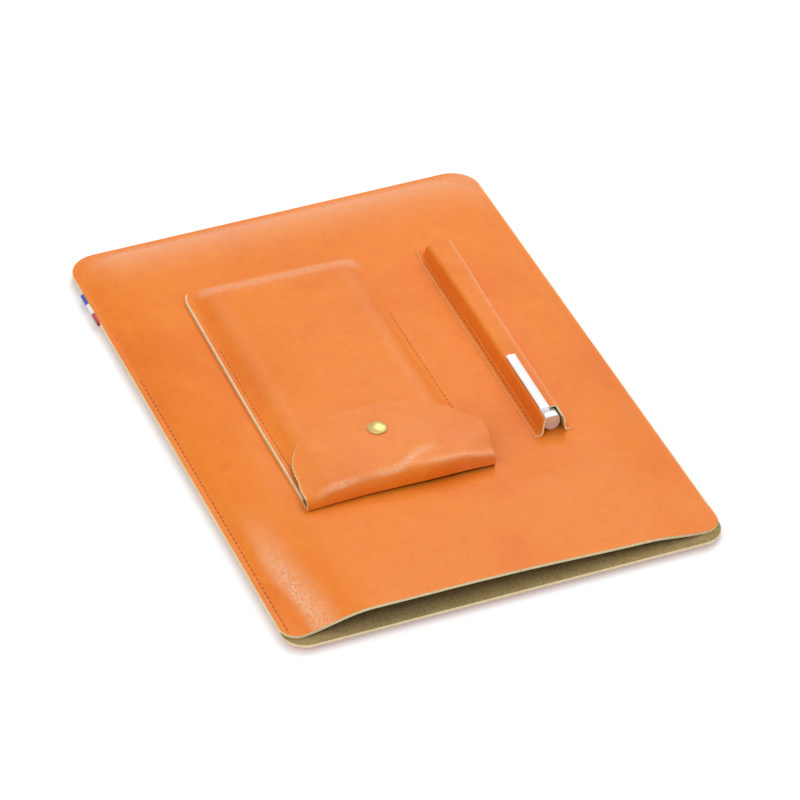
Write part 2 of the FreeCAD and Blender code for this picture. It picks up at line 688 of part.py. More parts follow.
def stitch_row(path, height):
    # short lengths of thread laid end to end along a path at a steady pitch
    length = number("Sizes.stitch_length")
    width = number("Sizes.thread_width")
    rise = number("Sizes.thread_rise")
    count = int(path.Length / number("Sizes.stitch_pitch"))
    spots = path.discretize(Number=2 * count + 1)
    stitches = []
    for i in range(count):
        start = spots[2 * i]
        end = spots[2 * i + 2]
        heading = math.degrees(math.atan2(end.y - start.y, end.x - start.x))
        stitch = Part.makeBox(length, width, rise, Vector(-length / 2, -width / 2, 0))
        middle = spots[2 * i + 1]
        stitch.Placement = Placement(Vector(middle.x, middle.y, height), Rotation(Vector(0, 0, 1), heading))
        stitches.append(stitch)
    return stitches


def thread(label, stitches):
    item = doc.addObject("Part::Feature", label)
    item.Shape = Part.makeCompound(stitches)
    return item


inset = number("Sizes.seam_inset")
sleeve_path = seam_path(
    number("-" + half_width) + inset, number(half_width) - inset, number(mouth_edge) + 2 * inset,
    number(half_length) - inset, number("Sizes.sleeve_corner") - inset)
sleeve_seam_thread = thread("sleeve_seam_thread", stitch_row(sleeve_path, number("2*Sizes.panel_leather")))
pocket_path = seam_path(
    number(pocket_left) + inset, number(pocket_right) - inset, number("Sizes.pocket_mouth") + inset,
    number("Sizes.pocket_far") - inset, number("Sizes.pocket_corner") - inset)
pocket_height = number(pocket_front_base + " + Sizes.pocket_leather")
pocket_seam_thread = thread("pocket_seam_thread", stitch_row(pocket_path, pocket_height))
holder_rows = []
row_step = number("Sizes.pen_sleeve_half + 0.6*Sizes.pen_sleeve_flange")
row_near = number("Sizes.pen_sleeve_mouth") + inset
row_far = number("Sizes.pen_sleeve_far - Sizes.pen_sleeve_flange")
for side_sign in (-1, 1):
    row_x = number("Sizes.pen_x") + side_sign * row_step
    row_path = Part.Wire([Part.makeLine(Vector(row_x, row_near, 0), Vector(row_x, row_far, 0))])
    holder_rows.extend(stitch_row(row_path, number(front_top + " + Sizes.pocket_leather")))
pen_sleeve_seam_thread = thread("pen_sleeve_seam_thread", holder_rows)



# the pen and its sleeve lean together, turned about the point where the pen's axis meets the middle line
def leaned(piece):
    item = doc.addObject("Part::Compound", piece.Label + "_leaned")
    item.Links = [piece]
    bind(item, "Placement.Rotation.Angle", "-Sizes.pen_lean*1deg")
    bind(item, "Placement.Base.x", "Sizes.pen_x*(1 - cos(Sizes.pen_lean*1deg))")
    bind(item, "Placement.Base.y", "Sizes.pen_x*sin(Sizes.pen_lean*1deg)")
    return item


writing_pieces = [
    pen_sleeve, pen_sleeve_seam_thread,
    pen_barrel, grip_section, pen_nib, nib_feed, ink_converter,
    pen_cap, inner_cap, cap_finial, pen_clip]
doc.recompute()
pieces = [
    back_panel, front_panel, sleeve_seam_thread, ribbon_tab,
    pocket_back, pocket_front, pocket_seam_thread, flap_fold, closing_flap,
    snap_cap, snap_socket, snap_spring, snap_stud, snap_eyelet]
pieces.extend(leaned(piece) for piece in writing_pieces)
doc.recompute()
for item in doc.Objects:
    if "Invalid" in item.State or "Error" in item.State:
        raise ValueError(item.Label + " is not sound")
os.makedirs("parts", exist_ok=True)
for piece in pieces:
    if piece.Shape.isNull() or not piece.Shape.isValid():
        raise ValueError(piece.Label + " has no sound shape")
    file_name = piece.Label.replace("_leaned", "")
    piece.Shape.exportStep("parts/%s.step" % file_name)
    print(file_name, round(piece.Shape.Volume, 1))
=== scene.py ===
import math

import bmesh
import bpy
import numpy as np
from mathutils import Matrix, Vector


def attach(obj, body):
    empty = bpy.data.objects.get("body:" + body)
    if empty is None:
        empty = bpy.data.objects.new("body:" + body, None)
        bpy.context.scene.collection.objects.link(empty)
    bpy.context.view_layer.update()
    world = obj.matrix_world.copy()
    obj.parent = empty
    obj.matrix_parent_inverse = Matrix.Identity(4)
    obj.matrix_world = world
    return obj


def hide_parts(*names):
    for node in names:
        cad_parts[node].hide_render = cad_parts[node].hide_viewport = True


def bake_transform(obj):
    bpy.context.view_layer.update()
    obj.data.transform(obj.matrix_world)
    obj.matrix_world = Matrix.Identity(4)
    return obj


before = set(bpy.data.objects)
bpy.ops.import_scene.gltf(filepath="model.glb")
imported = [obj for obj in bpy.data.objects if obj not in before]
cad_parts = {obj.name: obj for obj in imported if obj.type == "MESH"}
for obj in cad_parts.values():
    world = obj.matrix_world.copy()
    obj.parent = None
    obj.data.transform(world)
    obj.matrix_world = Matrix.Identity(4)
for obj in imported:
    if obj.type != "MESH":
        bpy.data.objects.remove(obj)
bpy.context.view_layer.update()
scene = bpy.context.scene
scene.view_settings.view_transform = "Standard"
mm = 0.001
print("frame loaded:", len(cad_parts), "nodes")


def place(name, data):
    thing = bpy.data.objects.new(name, data)
    scene.collection.objects.link(thing)
    return thing


# small node helpers that the stage, the finishes and the stitches share
def mathNode(tree, operation, first, second=None):
    node = tree.nodes.new("ShaderNodeMath")
    node.operation = operation
    for count, value in enumerate((first, second)):
        if isinstance(value, (int, float)):
            node.inputs[count].default_value = value
        elif value is not None:
            tree.links.new(value, node.inputs[count])
    return node.outputs[0]


def seenStraight(tree):  # 1 for rays from the eye, through clear plastic or off a shiny face
    path = tree.nodes.new("ShaderNodeLightPath")
    seen = mathNode(tree, "MAXIMUM", path.outputs["Is Camera Ray"], path.outputs["Is Transmission Ray"])
    return mathNode(tree, "MAXIMUM", seen, path.outputs["Is Glossy Ray"])


# stage: the photograph's angle, a white floor that keeps the shadow, soft light from the far right
stageSetup = {
    "azimuth": -21.775, "elevation": 37.81, "distance": 2.3818, "lens": 218.25, "sensor": 36, "clipEnd": 20,
    "slideRight": 0.00739, "slideUp": -0.00118, "worldLight": 0.60, "worldSeen": 1.0,
    "keyPower": 23.2, "keyPlace": (0.92, 1.10, 1.92), "keySize": 1.5,
    "fillPower": 4.8, "fillPlace": (-0.9, -0.7, 1.1), "fillSize": 1.4,
    "floorGlow": 0.12, "floorWhite": 2.0, "floorColor": (0.96, 0.96, 0.97, 1), "floorDrop": 2.4, "floorHalf": 4,
}


def addCamera(s):
    az, el = math.radians(s["azimuth"]), math.radians(s["elevation"])
    right = Vector((math.cos(az), math.sin(az), 0))
    back = Vector((math.sin(az) * math.cos(el), -math.cos(az) * math.cos(el), math.sin(el)))
    target = right * s["slideRight"] + back.cross(right) * s["slideUp"]
    lens = bpy.data.cameras.new("camera")
    lens.lens = s["lens"]
    lens.sensor_width = s["sensor"]
    lens.clip_end = s["clipEnd"]
    camera = place("camera", lens)
    camera.location = target + back * s["distance"]
    camera.rotation_euler = back.to_track_quat("Z", "Y").to_euler()
    scene.camera = camera


def addLight(name, power, where, size):  # a square lamp that faces the origin
    lamp = bpy.data.lights.new(name, "AREA")
    lamp.energy = power
    lamp.size = size
    holder = place(name, lamp)
    holder.location = where
    holder.rotation_euler = Vector(where).to_track_quat("Z", "Y").to_euler()


def addWorld(s):  # plain white where it is seen, dimmer where it only lights
    world = bpy.data.worlds.new("studio")
    scene.world = world
    world.use_nodes = True
    tree = world.node_tree
    tree.nodes.clear()
    strength = tree.nodes.new("ShaderNodeMapRange")
    strength.inputs["To Min"].default_value = s["worldLight"]
    strength.inputs["To Max"].default_value = s["worldSeen"]
    tree.links.new(seenStraight(tree), strength.inputs["Value"])
    sky = tree.nodes.new("ShaderNodeBackground")
    sky.inputs["Color"].default_value = (1, 1, 1, 1)
    tree.links.new(strength.outputs[0], sky.inputs["Strength"])
    tree.links.new(sky.outputs[0], tree.nodes.new("ShaderNodeOutputWorld").inputs["Surface"])


def addFloor(s):
    half, low = s["floorHalf"], -s["floorDrop"] * mm
    mesh = bpy.data.meshes.new("floor")
    corners = [(-half, -half, low), (half, -half, low), (half, half, low), (-half, half, low)]
    mesh.from_pydata(corners, [], [(0, 1, 2, 3)])
    floor = place("floor", mesh)
    paint = bpy.data.materials.new("floorPaint")
    paint.use_nodes = True
    tree = paint.node_tree
    tree.nodes.clear()
    share = mathNode(tree, "MULTIPLY", seenStraight(tree), s["floorGlow"])
    matte = tree.nodes.new("ShaderNodeBsdfDiffuse")
    matte.inputs["Color"].default_value = s["floorColor"]
    glow = tree.nodes.new("ShaderNodeEmission")
    glow.inputs["Strength"].default_value = s["floorWhite"]
    mix = tree.nodes.new("ShaderNodeMixShader")
    for count, source in enumerate((share, matte.outputs[0], glow.outputs[0])):
        tree.links.new(source, mix.inputs[count])
    tree.links.new(mix.outputs[0], tree.nodes.new("ShaderNodeOutputMaterial").inputs["Surface"])
    mesh.materials.append(paint)


addCamera(stageSetup)
for lampName in ("key", "fill"):
    addLight(lampName + "Light", *(stageSetup[lampName + part] for part in ("Power", "Place", "Size")))
addWorld(stageSetup)
addFloor(stageSetup)
print("stage set")


# shader groups shared by several finishes
def newGroup(name, inputs, outputs):
    tree = bpy.data.node_groups.new(name, "ShaderNodeTree")
    for label, kind, value in inputs:
        socket = tree.interface.new_socket(label, in_out="INPUT", socket_type=kind)
        if value is not None:
            socket.default_value = value
    for label, kind in outputs:
        tree.interface.new_socket(label, in_out="OUTPUT", socket_type=kind)
    return tree, tree.nodes.new("NodeGroupInput"), tree.nodes.new("NodeGroupOutput")


def noiseNode(tree, vector, scale, detail=3.0, roughness=0.55, distortion=0.0):
    node = tree.nodes.new("ShaderNodeTexNoise")
    if isinstance(scale, float):
        node.inputs["Scale"].default_value = scale
    else:
        tree.links.new(scale, node.inputs["Scale"])
    node.inputs["Detail"].default_value = detail
    node.inputs["Roughness"].default_value = roughness
    node.inputs["Distortion"].default_value = distortion
    tree.links.new(vector, node.inputs["Vector"])
    return node.outputs["Fac"]


def rangeNode(tree, value, low, high, toLow=0.0, toHigh=1.0):
    node = tree.nodes.new("ShaderNodeMapRange")
    node.interpolation_type = "SMOOTHSTEP"
    for label, number in (("From Min", low), ("From Max", high), ("To Min", toLow), ("To Max", toHigh)):
        node.inputs[label].default_value = number
    tree.links.new(value, node.inputs["Value"])
    return node.outputs[0]


def mixNode(tree, share, first, second):
    node = tree.nodes.new("ShaderNodeMix")
    node.data_type = "RGBA"
    for socket, value in ((node.inputs["Factor"], share), (node.inputs[6], first), (node.inputs[7], second)):
        if isinstance(value, (int, float, tuple)):
            socket.default_value = value
        else:
            tree.links.new(value, socket)
    return node.outputs[2]


def cellNode(tree, vector, scale):  # distance to the nearest cell edge
    node = tree.nodes.new("ShaderNodeTexVoronoi")
    node.feature = "DISTANCE_TO_EDGE"
    node.inputs["Scale"].default_value = scale
    tree.links.new(vector, node.inputs["Vector"])
    return node.outputs["Distance"]


# noises: scale, detail, roughness, distortion; ranges: from low, from high, to low, to high
grainLook = {
    "cloud": (13.0, 4.0, 0.55, 0.4), "cloudDye": (0.42, 0.72, 0.0, 0.55),  # broad dye clouds
    "mottle": (150.0, 6.0, 0.72, 0.3), "mottleDye": (0.46, 0.70, 0.0, 0.34),  # small dye marks
    "streak": (70.0, 5.0, 0.6, 0.6), "streakPale": (0.50, 0.80, 0.0, 0.35),  # pull-up marks
    "streakRough": (0.3, 0.7, -0.05, 0.07), "streakHeight": 1.2,
    "fleck": (420.0, 3.0, 0.6), "fleckRough": (0.35, 0.7, -0.03, 0.05), "fleckHeight": 0.55,
    "glint": (760.0, 4.0, 0.7, 0.5), "glintSpread": (0.40, 0.68, -0.30, 0.55), "plainSheen": 0.45,  # painted sheen: fine speckles over an even share
    "wornGloss": 0.14, "poreScale": 950.0, "poreHeight": (0.0, 0.12, 0.0, 0.35),
    "creaseScale": 420.0, "creaseHeight": (0.0, 0.22, 0.0, 2.4), "creasePower": 2.5,
}


def makeGrain(g):
    tree, given, out = newGroup(
        "oiledGrain",
        [("Vector", "NodeSocketVector", None), ("Base", "NodeSocketColor", (0.8, 0.25, 0.05, 1)),
         ("Deep", "NodeSocketColor", (0.6, 0.13, 0.01, 1)), ("Pale", "NodeSocketColor", (0.9, 0.4, 0.17, 1)),
         ("Sheen", "NodeSocketColor", (0.95, 0.6, 0.4, 1)),
         ("WearAndSheen", "NodeSocketFloat", 0.0), ("Gloss", "NodeSocketFloat", 0.34)],
        [("Color", "NodeSocketColor"), ("Roughness", "NodeSocketFloat"), ("Height", "NodeSocketFloat")],
    )
    vector, wearAndSheen = given.outputs["Vector"], given.outputs["WearAndSheen"]
    cloud, mottle, streak, fleck, glint = (
        noiseNode(tree, vector, *g[label]) for label in ("cloud", "mottle", "streak", "fleck", "glint"))
    # painted sheen: a pale pink colour mixed in by the wear-and-sheen mask and speckled by a fine noise; the same mask
    # also lowers roughness and deepens creases
    speckle = mathNode(tree, "MULTIPLY", wearAndSheen, rangeNode(tree, glint, *g["glintSpread"]))
    sheen = mathNode(tree, "MULTIPLY", wearAndSheen, mathNode(tree, "ADD", speckle, g["plainSheen"]))
    color = given.outputs["Base"]
    for share, shade in ((rangeNode(tree, cloud, *g["cloudDye"]), "Deep"),
                         (rangeNode(tree, mottle, *g["mottleDye"]), "Deep"),
                         (rangeNode(tree, streak, *g["streakPale"]), "Pale"), (sheen, "Sheen")):
        color = mixNode(tree, share, color, given.outputs[shade])
    tree.links.new(color, out.inputs["Color"])
    rough = mathNode(tree, "ADD", given.outputs["Gloss"], rangeNode(tree, streak, *g["streakRough"]))
    rough = mathNode(tree, "ADD", rough, rangeNode(tree, fleck, *g["fleckRough"]))
    rough = mathNode(tree, "SUBTRACT", rough, mathNode(tree, "MULTIPLY", wearAndSheen, g["wornGloss"]))
    tree.links.new(rough, out.inputs["Roughness"])
    creased = rangeNode(tree, cellNode(tree, vector, g["creaseScale"]), *g["creaseHeight"])
    height = rangeNode(tree, cellNode(tree, vector, g["poreScale"]), *g["poreHeight"])
    for part in (mathNode(tree, "MULTIPLY", fleck, g["fleckHeight"]),
                 mathNode(tree, "MULTIPLY", creased, mathNode(tree, "POWER", wearAndSheen, g["creasePower"])),
                 mathNode(tree, "MULTIPLY", streak, g["streakHeight"])):
        height = mathNode(tree, "ADD", height, part)
    tree.links.new(height, out.inputs["Height"])
    return tree


fibreLook = {
    "detail": 5.0, "roughness": 0.65, "fuzzDark": (0.35, 0.7, 0.0, 0.75),
    "patch": (60.0, 3.0), "patchDark": (0.4, 0.7, 0.0, 0.25), "bumpDepth": 0.0003,
}


def makeFibre(f):
    tree, given, out = newGroup(
        "cutFibre",
        [("Vector", "NodeSocketVector", None), ("Light", "NodeSocketColor", (0.75, 0.6, 0.3, 1)),
         ("Dark", "NodeSocketColor", (0.4, 0.3, 0.12, 1)), ("Scale", "NodeSocketFloat", 600.0)],
        [("Color", "NodeSocketColor"), ("Height", "NodeSocketFloat")],
    )
    fuzz = noiseNode(tree, given.outputs["Vector"], given.outputs["Scale"], f["detail"], f["roughness"])
    patch = noiseNode(tree, given.outputs["Vector"], *f["patch"])
    share = mathNode(tree, "ADD", rangeNode(tree, fuzz, *f["fuzzDark"]), rangeNode(tree, patch, *f["patchDark"]))
    tree.links.new(mixNode(tree, share, given.outputs["Light"], given.outputs["Dark"]), out.inputs["Color"])
    tree.links.new(fuzz, out.inputs["Height"])
    return tree


grainGroup = makeGrain(grainLook)
fibreGroup = makeFibre(fibreLook)


def newFinish(name):
    material = bpy.data.materials.new(name)
    material.use_nodes = True
    tree = material.node_tree
    return material, tree, tree.nodes["Principled BSDF"]


def placeGroup(tree, group, values):
    node = tree.nodes.new("ShaderNodeGroup")
    node.node_tree = group
    for label, value in values.items():
        node.inputs[label].default_value = value
    where = tree.nodes.new("ShaderNodeTexCoord")
    tree.links.new(where.outputs["Object"], node.inputs["Vector"])
    return node


def addBump(tree, shader, height, strength, distance):
    bump = tree.nodes.new("ShaderNodeBump")
    bump.inputs["Strength"].default_value = strength
    bump.inputs["Distance"].default_value = distance
    tree.links.new(height, bump.inputs["Height"])
    tree.links.new(bump.outputs["Normal"], shader.inputs["Normal"])


leatherLook = {
    "base": (0.880, 0.235, 0.022, 1), "deep": (0.760, 0.150, 0.008, 1), "pale": (0.905, 0.315, 0.066, 1),
    # pale pink colour of the painted sheen
    "sheen": (0.980, 0.700, 0.480, 1),
    "gloss": 0.36, "specular": 0.15, "coat": 0.05, "coatRoughness": 0.20, "bump": 0.30, "bumpDepth": 0.00022,
}


def makeLeather(name, look):
    material, tree, shader = newFinish(name)
    shades = ("Base", "Deep", "Pale", "Sheen", "Gloss")
    grain = placeGroup(tree, grainGroup, {label: look[label.lower()] for label in shades})
    # per-point wear and painted sheen: a pale colour and lower roughness
    wearAndSheen = tree.nodes.new("ShaderNodeAttribute")
    wearAndSheen.attribute_name = "wearAndSheen"
    tree.links.new(wearAndSheen.outputs["Fac"], grain.inputs["WearAndSheen"])
    tree.links.new(grain.outputs["Color"], shader.inputs["Base Color"])
    tree.links.new(grain.outputs["Roughness"], shader.inputs["Roughness"])
    shader.inputs["Specular IOR Level"].default_value = look["specular"]
    shader.inputs["Coat Weight"].default_value = look["coat"]
    shader.inputs["Coat Roughness"].default_value = look["coatRoughness"]
    addBump(tree, shader, grain.outputs["Height"], look["bump"], look["bumpDepth"])
    return material


def makeFibreFinish(name, light, dark, scale, rough, bump):
    material, tree, shader = newFinish(name)
    fibre = placeGroup(tree, fibreGroup, {"Light": light, "Dark": dark, "Scale": scale})
    tree.links.new(fibre.outputs["Color"], shader.inputs["Base Color"])
    shader.inputs["Roughness"].default_value = rough
    addBump(tree, shader, fibre.outputs["Height"], bump, fibreLook["bumpDepth"])
    return material


def twoShades(name, light, dark, noise, spread):  # a light shade clouded with a dark one
    material, tree, shader = newFinish(name)
    where = tree.nodes.new("ShaderNodeTexCoord")
    cloud = noiseNode(tree, where.outputs["Object"], *noise)
    tree.links.new(mixNode(tree, rangeNode(tree, cloud, *spread), light, dark), shader.inputs["Base Color"])
    return material, tree, shader, cloud


def makeMetal(name, light, dark, rough, scale, metallic=1.0):
    material, tree, shader, haze = twoShades(name, light, dark, (scale, 4.0, 0.6), (0.35, 0.75))
    tree.links.new(rangeNode(tree, haze, 0.3, 0.75, rough * 0.8, rough * 1.3), shader.inputs["Roughness"])
    shader.inputs["Metallic"].default_value = metallic
    return material


def makeThreadFinish(name, light, dark, rough=0.62):
    material, tree, shader, ply = twoShades(name, light, dark, (2600.0, 2.0), (0.35, 0.65))
    shader.inputs["Roughness"].default_value = rough
    addBump(tree, shader, ply, 0.4, 0.0001)
    return material


def makePlastic(name, color, rough, clear=False):
    darker = tuple(c * 0.82 for c in color[:3]) + (1,)
    material, tree, shader, speck = twoShades(name, color, darker, (700.0, 3.0), (0.35, 0.7))
    tree.links.new(rangeNode(tree, speck, 0.3, 0.7, rough * 0.85, rough * 1.2), shader.inputs["Roughness"])
    if clear:
        shader.inputs["Transmission Weight"].default_value = 0.85
        shader.inputs["IOR"].default_value = 1.49
    return material


# a near-black copy of the leather: painted shade for the underside of the fold
paintedShadeLook = dict(leatherLook, base=(0.120, 0.030, 0.006, 1), deep=(0.080, 0.018, 0.004, 1), pale=(0.160, 0.045, 0.010, 1))
leather = makeLeather("tanLeather", leatherLook)
paintedShade = makeLeather("paintedFoldShade", paintedShadeLook)
flesh = makeFibreFinish("fleshSide", (0.400, 0.285, 0.115, 1), (0.220, 0.150, 0.055, 1), 900.0, 0.92, 0.7)
rawEdge = makeFibreFinish("cutEdge", (0.930, 0.800, 0.500, 1), (0.740, 0.610, 0.340, 1), 700.0, 0.85, 0.6)
thread = makeThreadFinish("saddleThread", (0.800, 0.210, 0.026, 1), (0.620, 0.135, 0.014, 1))
# dark brown dots painted as the shade in the needle holes
holeShade = makePlastic("holeShade", (0.200, 0.055, 0.010, 1), 0.9)
brass = makeMetal("agedBrass", (0.640, 0.470, 0.180, 1), (0.470, 0.320, 0.100, 1), 0.38, 260.0)
springSteel = makeMetal("springSteel", (0.620, 0.620, 0.640, 1), (0.480, 0.480, 0.500, 1), 0.32, 300.0)
chrome = makeMetal("brightChrome", (0.900, 0.905, 0.915, 1), (0.830, 0.835, 0.850, 1), 0.10, 180.0)
satinChrome = makeMetal("satinChrome", (0.930, 0.930, 0.935, 1), (0.880, 0.880, 0.890, 1), 0.30, 200.0, 0.45)
satinSteel = makeMetal("satinSteel", (0.780, 0.770, 0.760, 1), (0.700, 0.690, 0.680, 1), 0.34, 240.0, 0.40)
nibSteel = makeMetal("nibSteel", (0.740, 0.730, 0.700, 1), (0.620, 0.600, 0.560, 1), 0.20, 500.0)
blackPlastic = makePlastic("blackPlastic", (0.016, 0.016, 0.018, 1), 0.35)
linerPlastic = makePlastic("linerPlastic", (0.180, 0.180, 0.190, 1), 0.45)
clearPlastic = makePlastic("clearPlastic", (0.86, 0.88, 0.90, 1), 0.12, clear=True)
print("finishes made")

slotNodes = {  # finish and CAD nodes of each slot
    "panel_leather": (leather, ("back_panel", "front_panel", "pocket_back", "pocket_front", "pen_sleeve", "flap_fold",
                                "closing_flap")),
    "thread": (thread, ("sleeve_seam_thread", "pocket_seam_thread", "pen_sleeve_seam_thread")),
    "ribbon": (rawEdge, ("ribbon_tab",)), "spring_steel": (springSteel, ("snap_spring",)),
    "brass": (brass, ("snap_stud", "snap_eyelet", "snap_cap", "snap_socket")),
    "chrome": (chrome, ("pen_barrel", "pen_cap", "cap_finial", "pen_clip")), "nib_steel": (nibSteel, ("pen_nib",)),
    "black_plastic": (blackPlastic, ("grip_section", "nib_feed")), "liner_plastic": (linerPlastic, ("inner_cap",)),
    "clear_plastic": (clearPlastic, ("ink_converter",)),
}
for finish, nodes in slotNodes.values():
    for node in nodes:
        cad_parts[node].data.materials.clear()
        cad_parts[node].data.materials.append(finish)


# mesh helpers: sizes from here on are in millimetres
def smooth(t):
    t = np.clip(t, 0.0, 1.0)
    return t * t * (3 - 2 * t)


def ramp(t, start, ease):  # eases from 0 to 1 past start, or the other way for a negative ease
    return smooth((t - start) / ease)


def between(t, low, easeIn, high, easeOut):  # 1 in the middle of a band, easing to 0 at both ends
    return ramp(t, low, easeIn) * ramp(t, high, -easeOut)


def bell(t, middle, width):
    return np.exp(-((t - middle) / width) ** 2)


def quarter(steps):  # angles of a quarter turn
    return np.linspace(0, math.pi / 2, steps)


def swell(t):  # eases in quickly, then flattens slowly
    t = np.clip(t, 0.0, 1.0)
    return (1 - (1 - t) ** 2.3) * smooth(t * 5 + 0.16)


def spaced(half, edgeSteps, inner):
    steps = np.array(edgeSteps, float)
    middle = np.linspace(-half + steps[-1], half - steps[-1], inner + 1)[1:-1]
    return np.concatenate([-half + steps, middle, (half - steps)[::-1]])


def skinObject(name, verts, faces, finishes):  # a smooth mesh from points in millimetres
    mesh = bpy.data.meshes.new(name)
    mesh.from_pydata((verts * mm).tolist(), [], faces)
    for finish in finishes:
        mesh.materials.append(finish)
    mesh.polygons.foreach_set("use_smooth", [True] * len(mesh.polygons))
    return place(name, mesh)


def gridObject(name, points, finishes, wearAndSheen=None, dropFaces=None, faceFinish=None):
    rows, cols = points.shape[:2]
    index = np.arange(rows * cols).reshape(rows, cols)
    quads = np.stack([index[:-1, :-1], index[:-1, 1:], index[1:, 1:], index[1:, :-1]], -1).reshape(-1, 4)
    if dropFaces is not None:
        quads = quads[~dropFaces.reshape(-1)]
    piece = skinObject(name, points.reshape(-1, 3), quads.tolist(), finishes)
    mesh = piece.data
    if wearAndSheen is not None:
        layer = mesh.attributes.new("wearAndSheen", "FLOAT", "POINT")
        layer.data.foreach_set("value", np.clip(wearAndSheen, 0, 1).astype(np.float32).reshape(-1))
    if faceFinish is not None:
        mesh.polygons.foreach_set("material_index", faceFinish.reshape(-1))
    if dropFaces is not None:
        made = bmesh.new()
        made.from_mesh(mesh)
        bmesh.ops.delete(made, geom=[v for v in made.verts if not v.link_faces], context="VERTS")
        made.to_mesh(mesh)
        made.free()
    return piece


def applied(piece):
    graph = bpy.context.evaluated_depsgraph_get()
    done = bpy.data.meshes.new_from_object(piece.evaluated_get(graph), preserve_all_data_layers=True, depsgraph=graph)
    piece.modifiers.clear()
    old = piece.data
    piece.data = done
    done.name = piece.name
    bpy.data.meshes.remove(old)
    return piece


def thicken(piece, thickness):  # grain side outside, flesh side inside, cut edge round the rim
    wall = piece.modifiers.new("wall", "SOLIDIFY")
    wall.thickness = thickness * mm
    wall.offset = -1.0
    wall.use_even_offset = False
    wall.use_rim = True
    wall.material_offset = 1
    wall.material_offset_rim = 2
    applied(piece)
    made = bmesh.new()
    made.from_mesh(piece.data)
    for edge in made.edges:
        kinds = {face.material_index for face in edge.link_faces}
        edge.smooth = len(kinds) < 2
    made.to_mesh(piece.data)
    made.free()
    return piece


def roundedRows(near, far, half, nearCorner, farCorner, straight, cornerSteps):  # (y, half width) pairs
    rows = []
    if nearCorner > 0:
        for a in quarter(cornerSteps + 1)[:0:-1]:
            rows.append((near + nearCorner * (1 - math.sin(a)), half - nearCorner * (1 - math.cos(a))))
    for y in np.linspace(near + nearCorner, far - farCorner, straight + 1):
        rows.append((y, half))
    if farCorner > 0:
        for a in quarter(cornerSteps + 1)[1:]:
            rows.append((far - farCorner * (1 - math.sin(a)), half - farCorner * (1 - math.cos(a))))
    return np.array(rows)


def edgeDistance(x, y, half, far, corner):  # inside distance to the left, right and far edges, round at the corners
    dx, dy = half - np.abs(x), far - y
    away = corner - np.hypot(np.maximum(0, corner - dx), np.maximum(0, corner - dy))
    return np.where(np.minimum(dx, dy) < corner, away, np.minimum(dx, dy))


def spread(rows, u, middle=0.0):  # plan of a sheet from its (y, half width) rows
    return middle + u[None, :] * rows[:, 1:2], np.repeat(rows[:, :1], len(u), 1)


def faceMarks(points):  # one finish number for each face of a grid
    return np.zeros((len(points) - 1, len(points[0]) - 1), np.int32)


bareFace, shadeFace = 2, 3  # places in a sheet's list of finishes


def dress(piece, body, node):
    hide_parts(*node)
    if body:
        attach(piece, body)
    return piece


# sleeve panels; a band is (low, ease in, high, ease out) and a ramp is (start, ease)
panel = {
    "half": 111.0, "far": 162.0, "near": -162.0, "leather": 1.5, "farCorner": 15.0, "nearCorner": 12.0,
    "setback": 6.0, "frontNearCorner": 9.0, "rise": 6.2, "flange": 2.4, "slope": 34.0, "panCorner": 26.0,
    "edgeSteps": (0, 0.45, 1.4, 2.1, 2.6, 3.0, 3.4, 3.9, 4.6, 5.6, 7.0, 8.6, 10.4, 12.2), "acrossSteps": 98,
    "straightSteps": 150, "cornerSteps": 20,
    "backEdgeSteps": (0, 1.0, 2.0, 3.0, 4.5, 7.0, 11.0), "backAcross": 40, "backStraight": 60, "backCorner": 14,
    "mouthRise": 6.6, "mouthAcross": (-107, 40, 104, 32), "mouthAlong": (-62, -94),
    "mouthLoss": 0.42, "mouthLossAcross": (-37, 125),  # the mouth stands lower towards the right
    "underPocket": ((-84, 10, 36, 8), (-146, 14, 112, 8)), "underPen": ((46, 6, 78, 6), (-76, 8, 100, 8)),
    "lullHigh": 0.32, "lullLow": 0.22, "lullInside": (12, 20),
    "seamInset": 3.0, "groove": 0.12, "grooveWide": 0.7, "grooveAlong": (-152, 3),
    "tight": 0.15, "tightAcross": (-70, -36),  # the far and right seams are drawn tight and hardly show
    # painted sheen on the left slope by the mouth
    "sheenStrength": 0.80, "sheenLine": -101, "sheenDrift": 5, "sheenTurn": (-100, -50), "sheenBand": (-4, 6, 17, 15),
    "sheenAlong": (-52, -70),
    # painted highlight on the far shoulder
    "shoulder": 0.40, "shoulderDeep": 46, "shoulderEase": 40, "shoulderEnd": 4, "shoulderAcross": (-110, 26),
    "bareStart": 24,
}


def frontTop(x, y):
    p = panel
    d = edgeDistance(x, y, p["half"], p["far"], p["panCorner"])
    body = p["rise"] * swell((d - p["flange"]) / p["slope"])
    mouth = p["mouthRise"] * between(x, *p["mouthAcross"]) * (1 - p["mouthLoss"] * ramp(x, *p["mouthLossAcross"]))
    share = ramp(y, *p["mouthAlong"])
    z = body * (1 - share) + mouth * share
    lull = p["lullHigh"] * np.sin(x * 0.043 + 0.8) * np.sin(y * 0.031 + x * 0.012)
    lull = lull + p["lullLow"] * np.sin(x * 0.021 - y * 0.052 + 1.7)
    for across, along in (p["underPocket"], p["underPen"]):  # lies flat where something is sewn on
        lull = lull * (1 - between(x, *across) * between(y, *along))
    return 2 * p["leather"] + z + lull * ramp(d, *p["lullInside"])


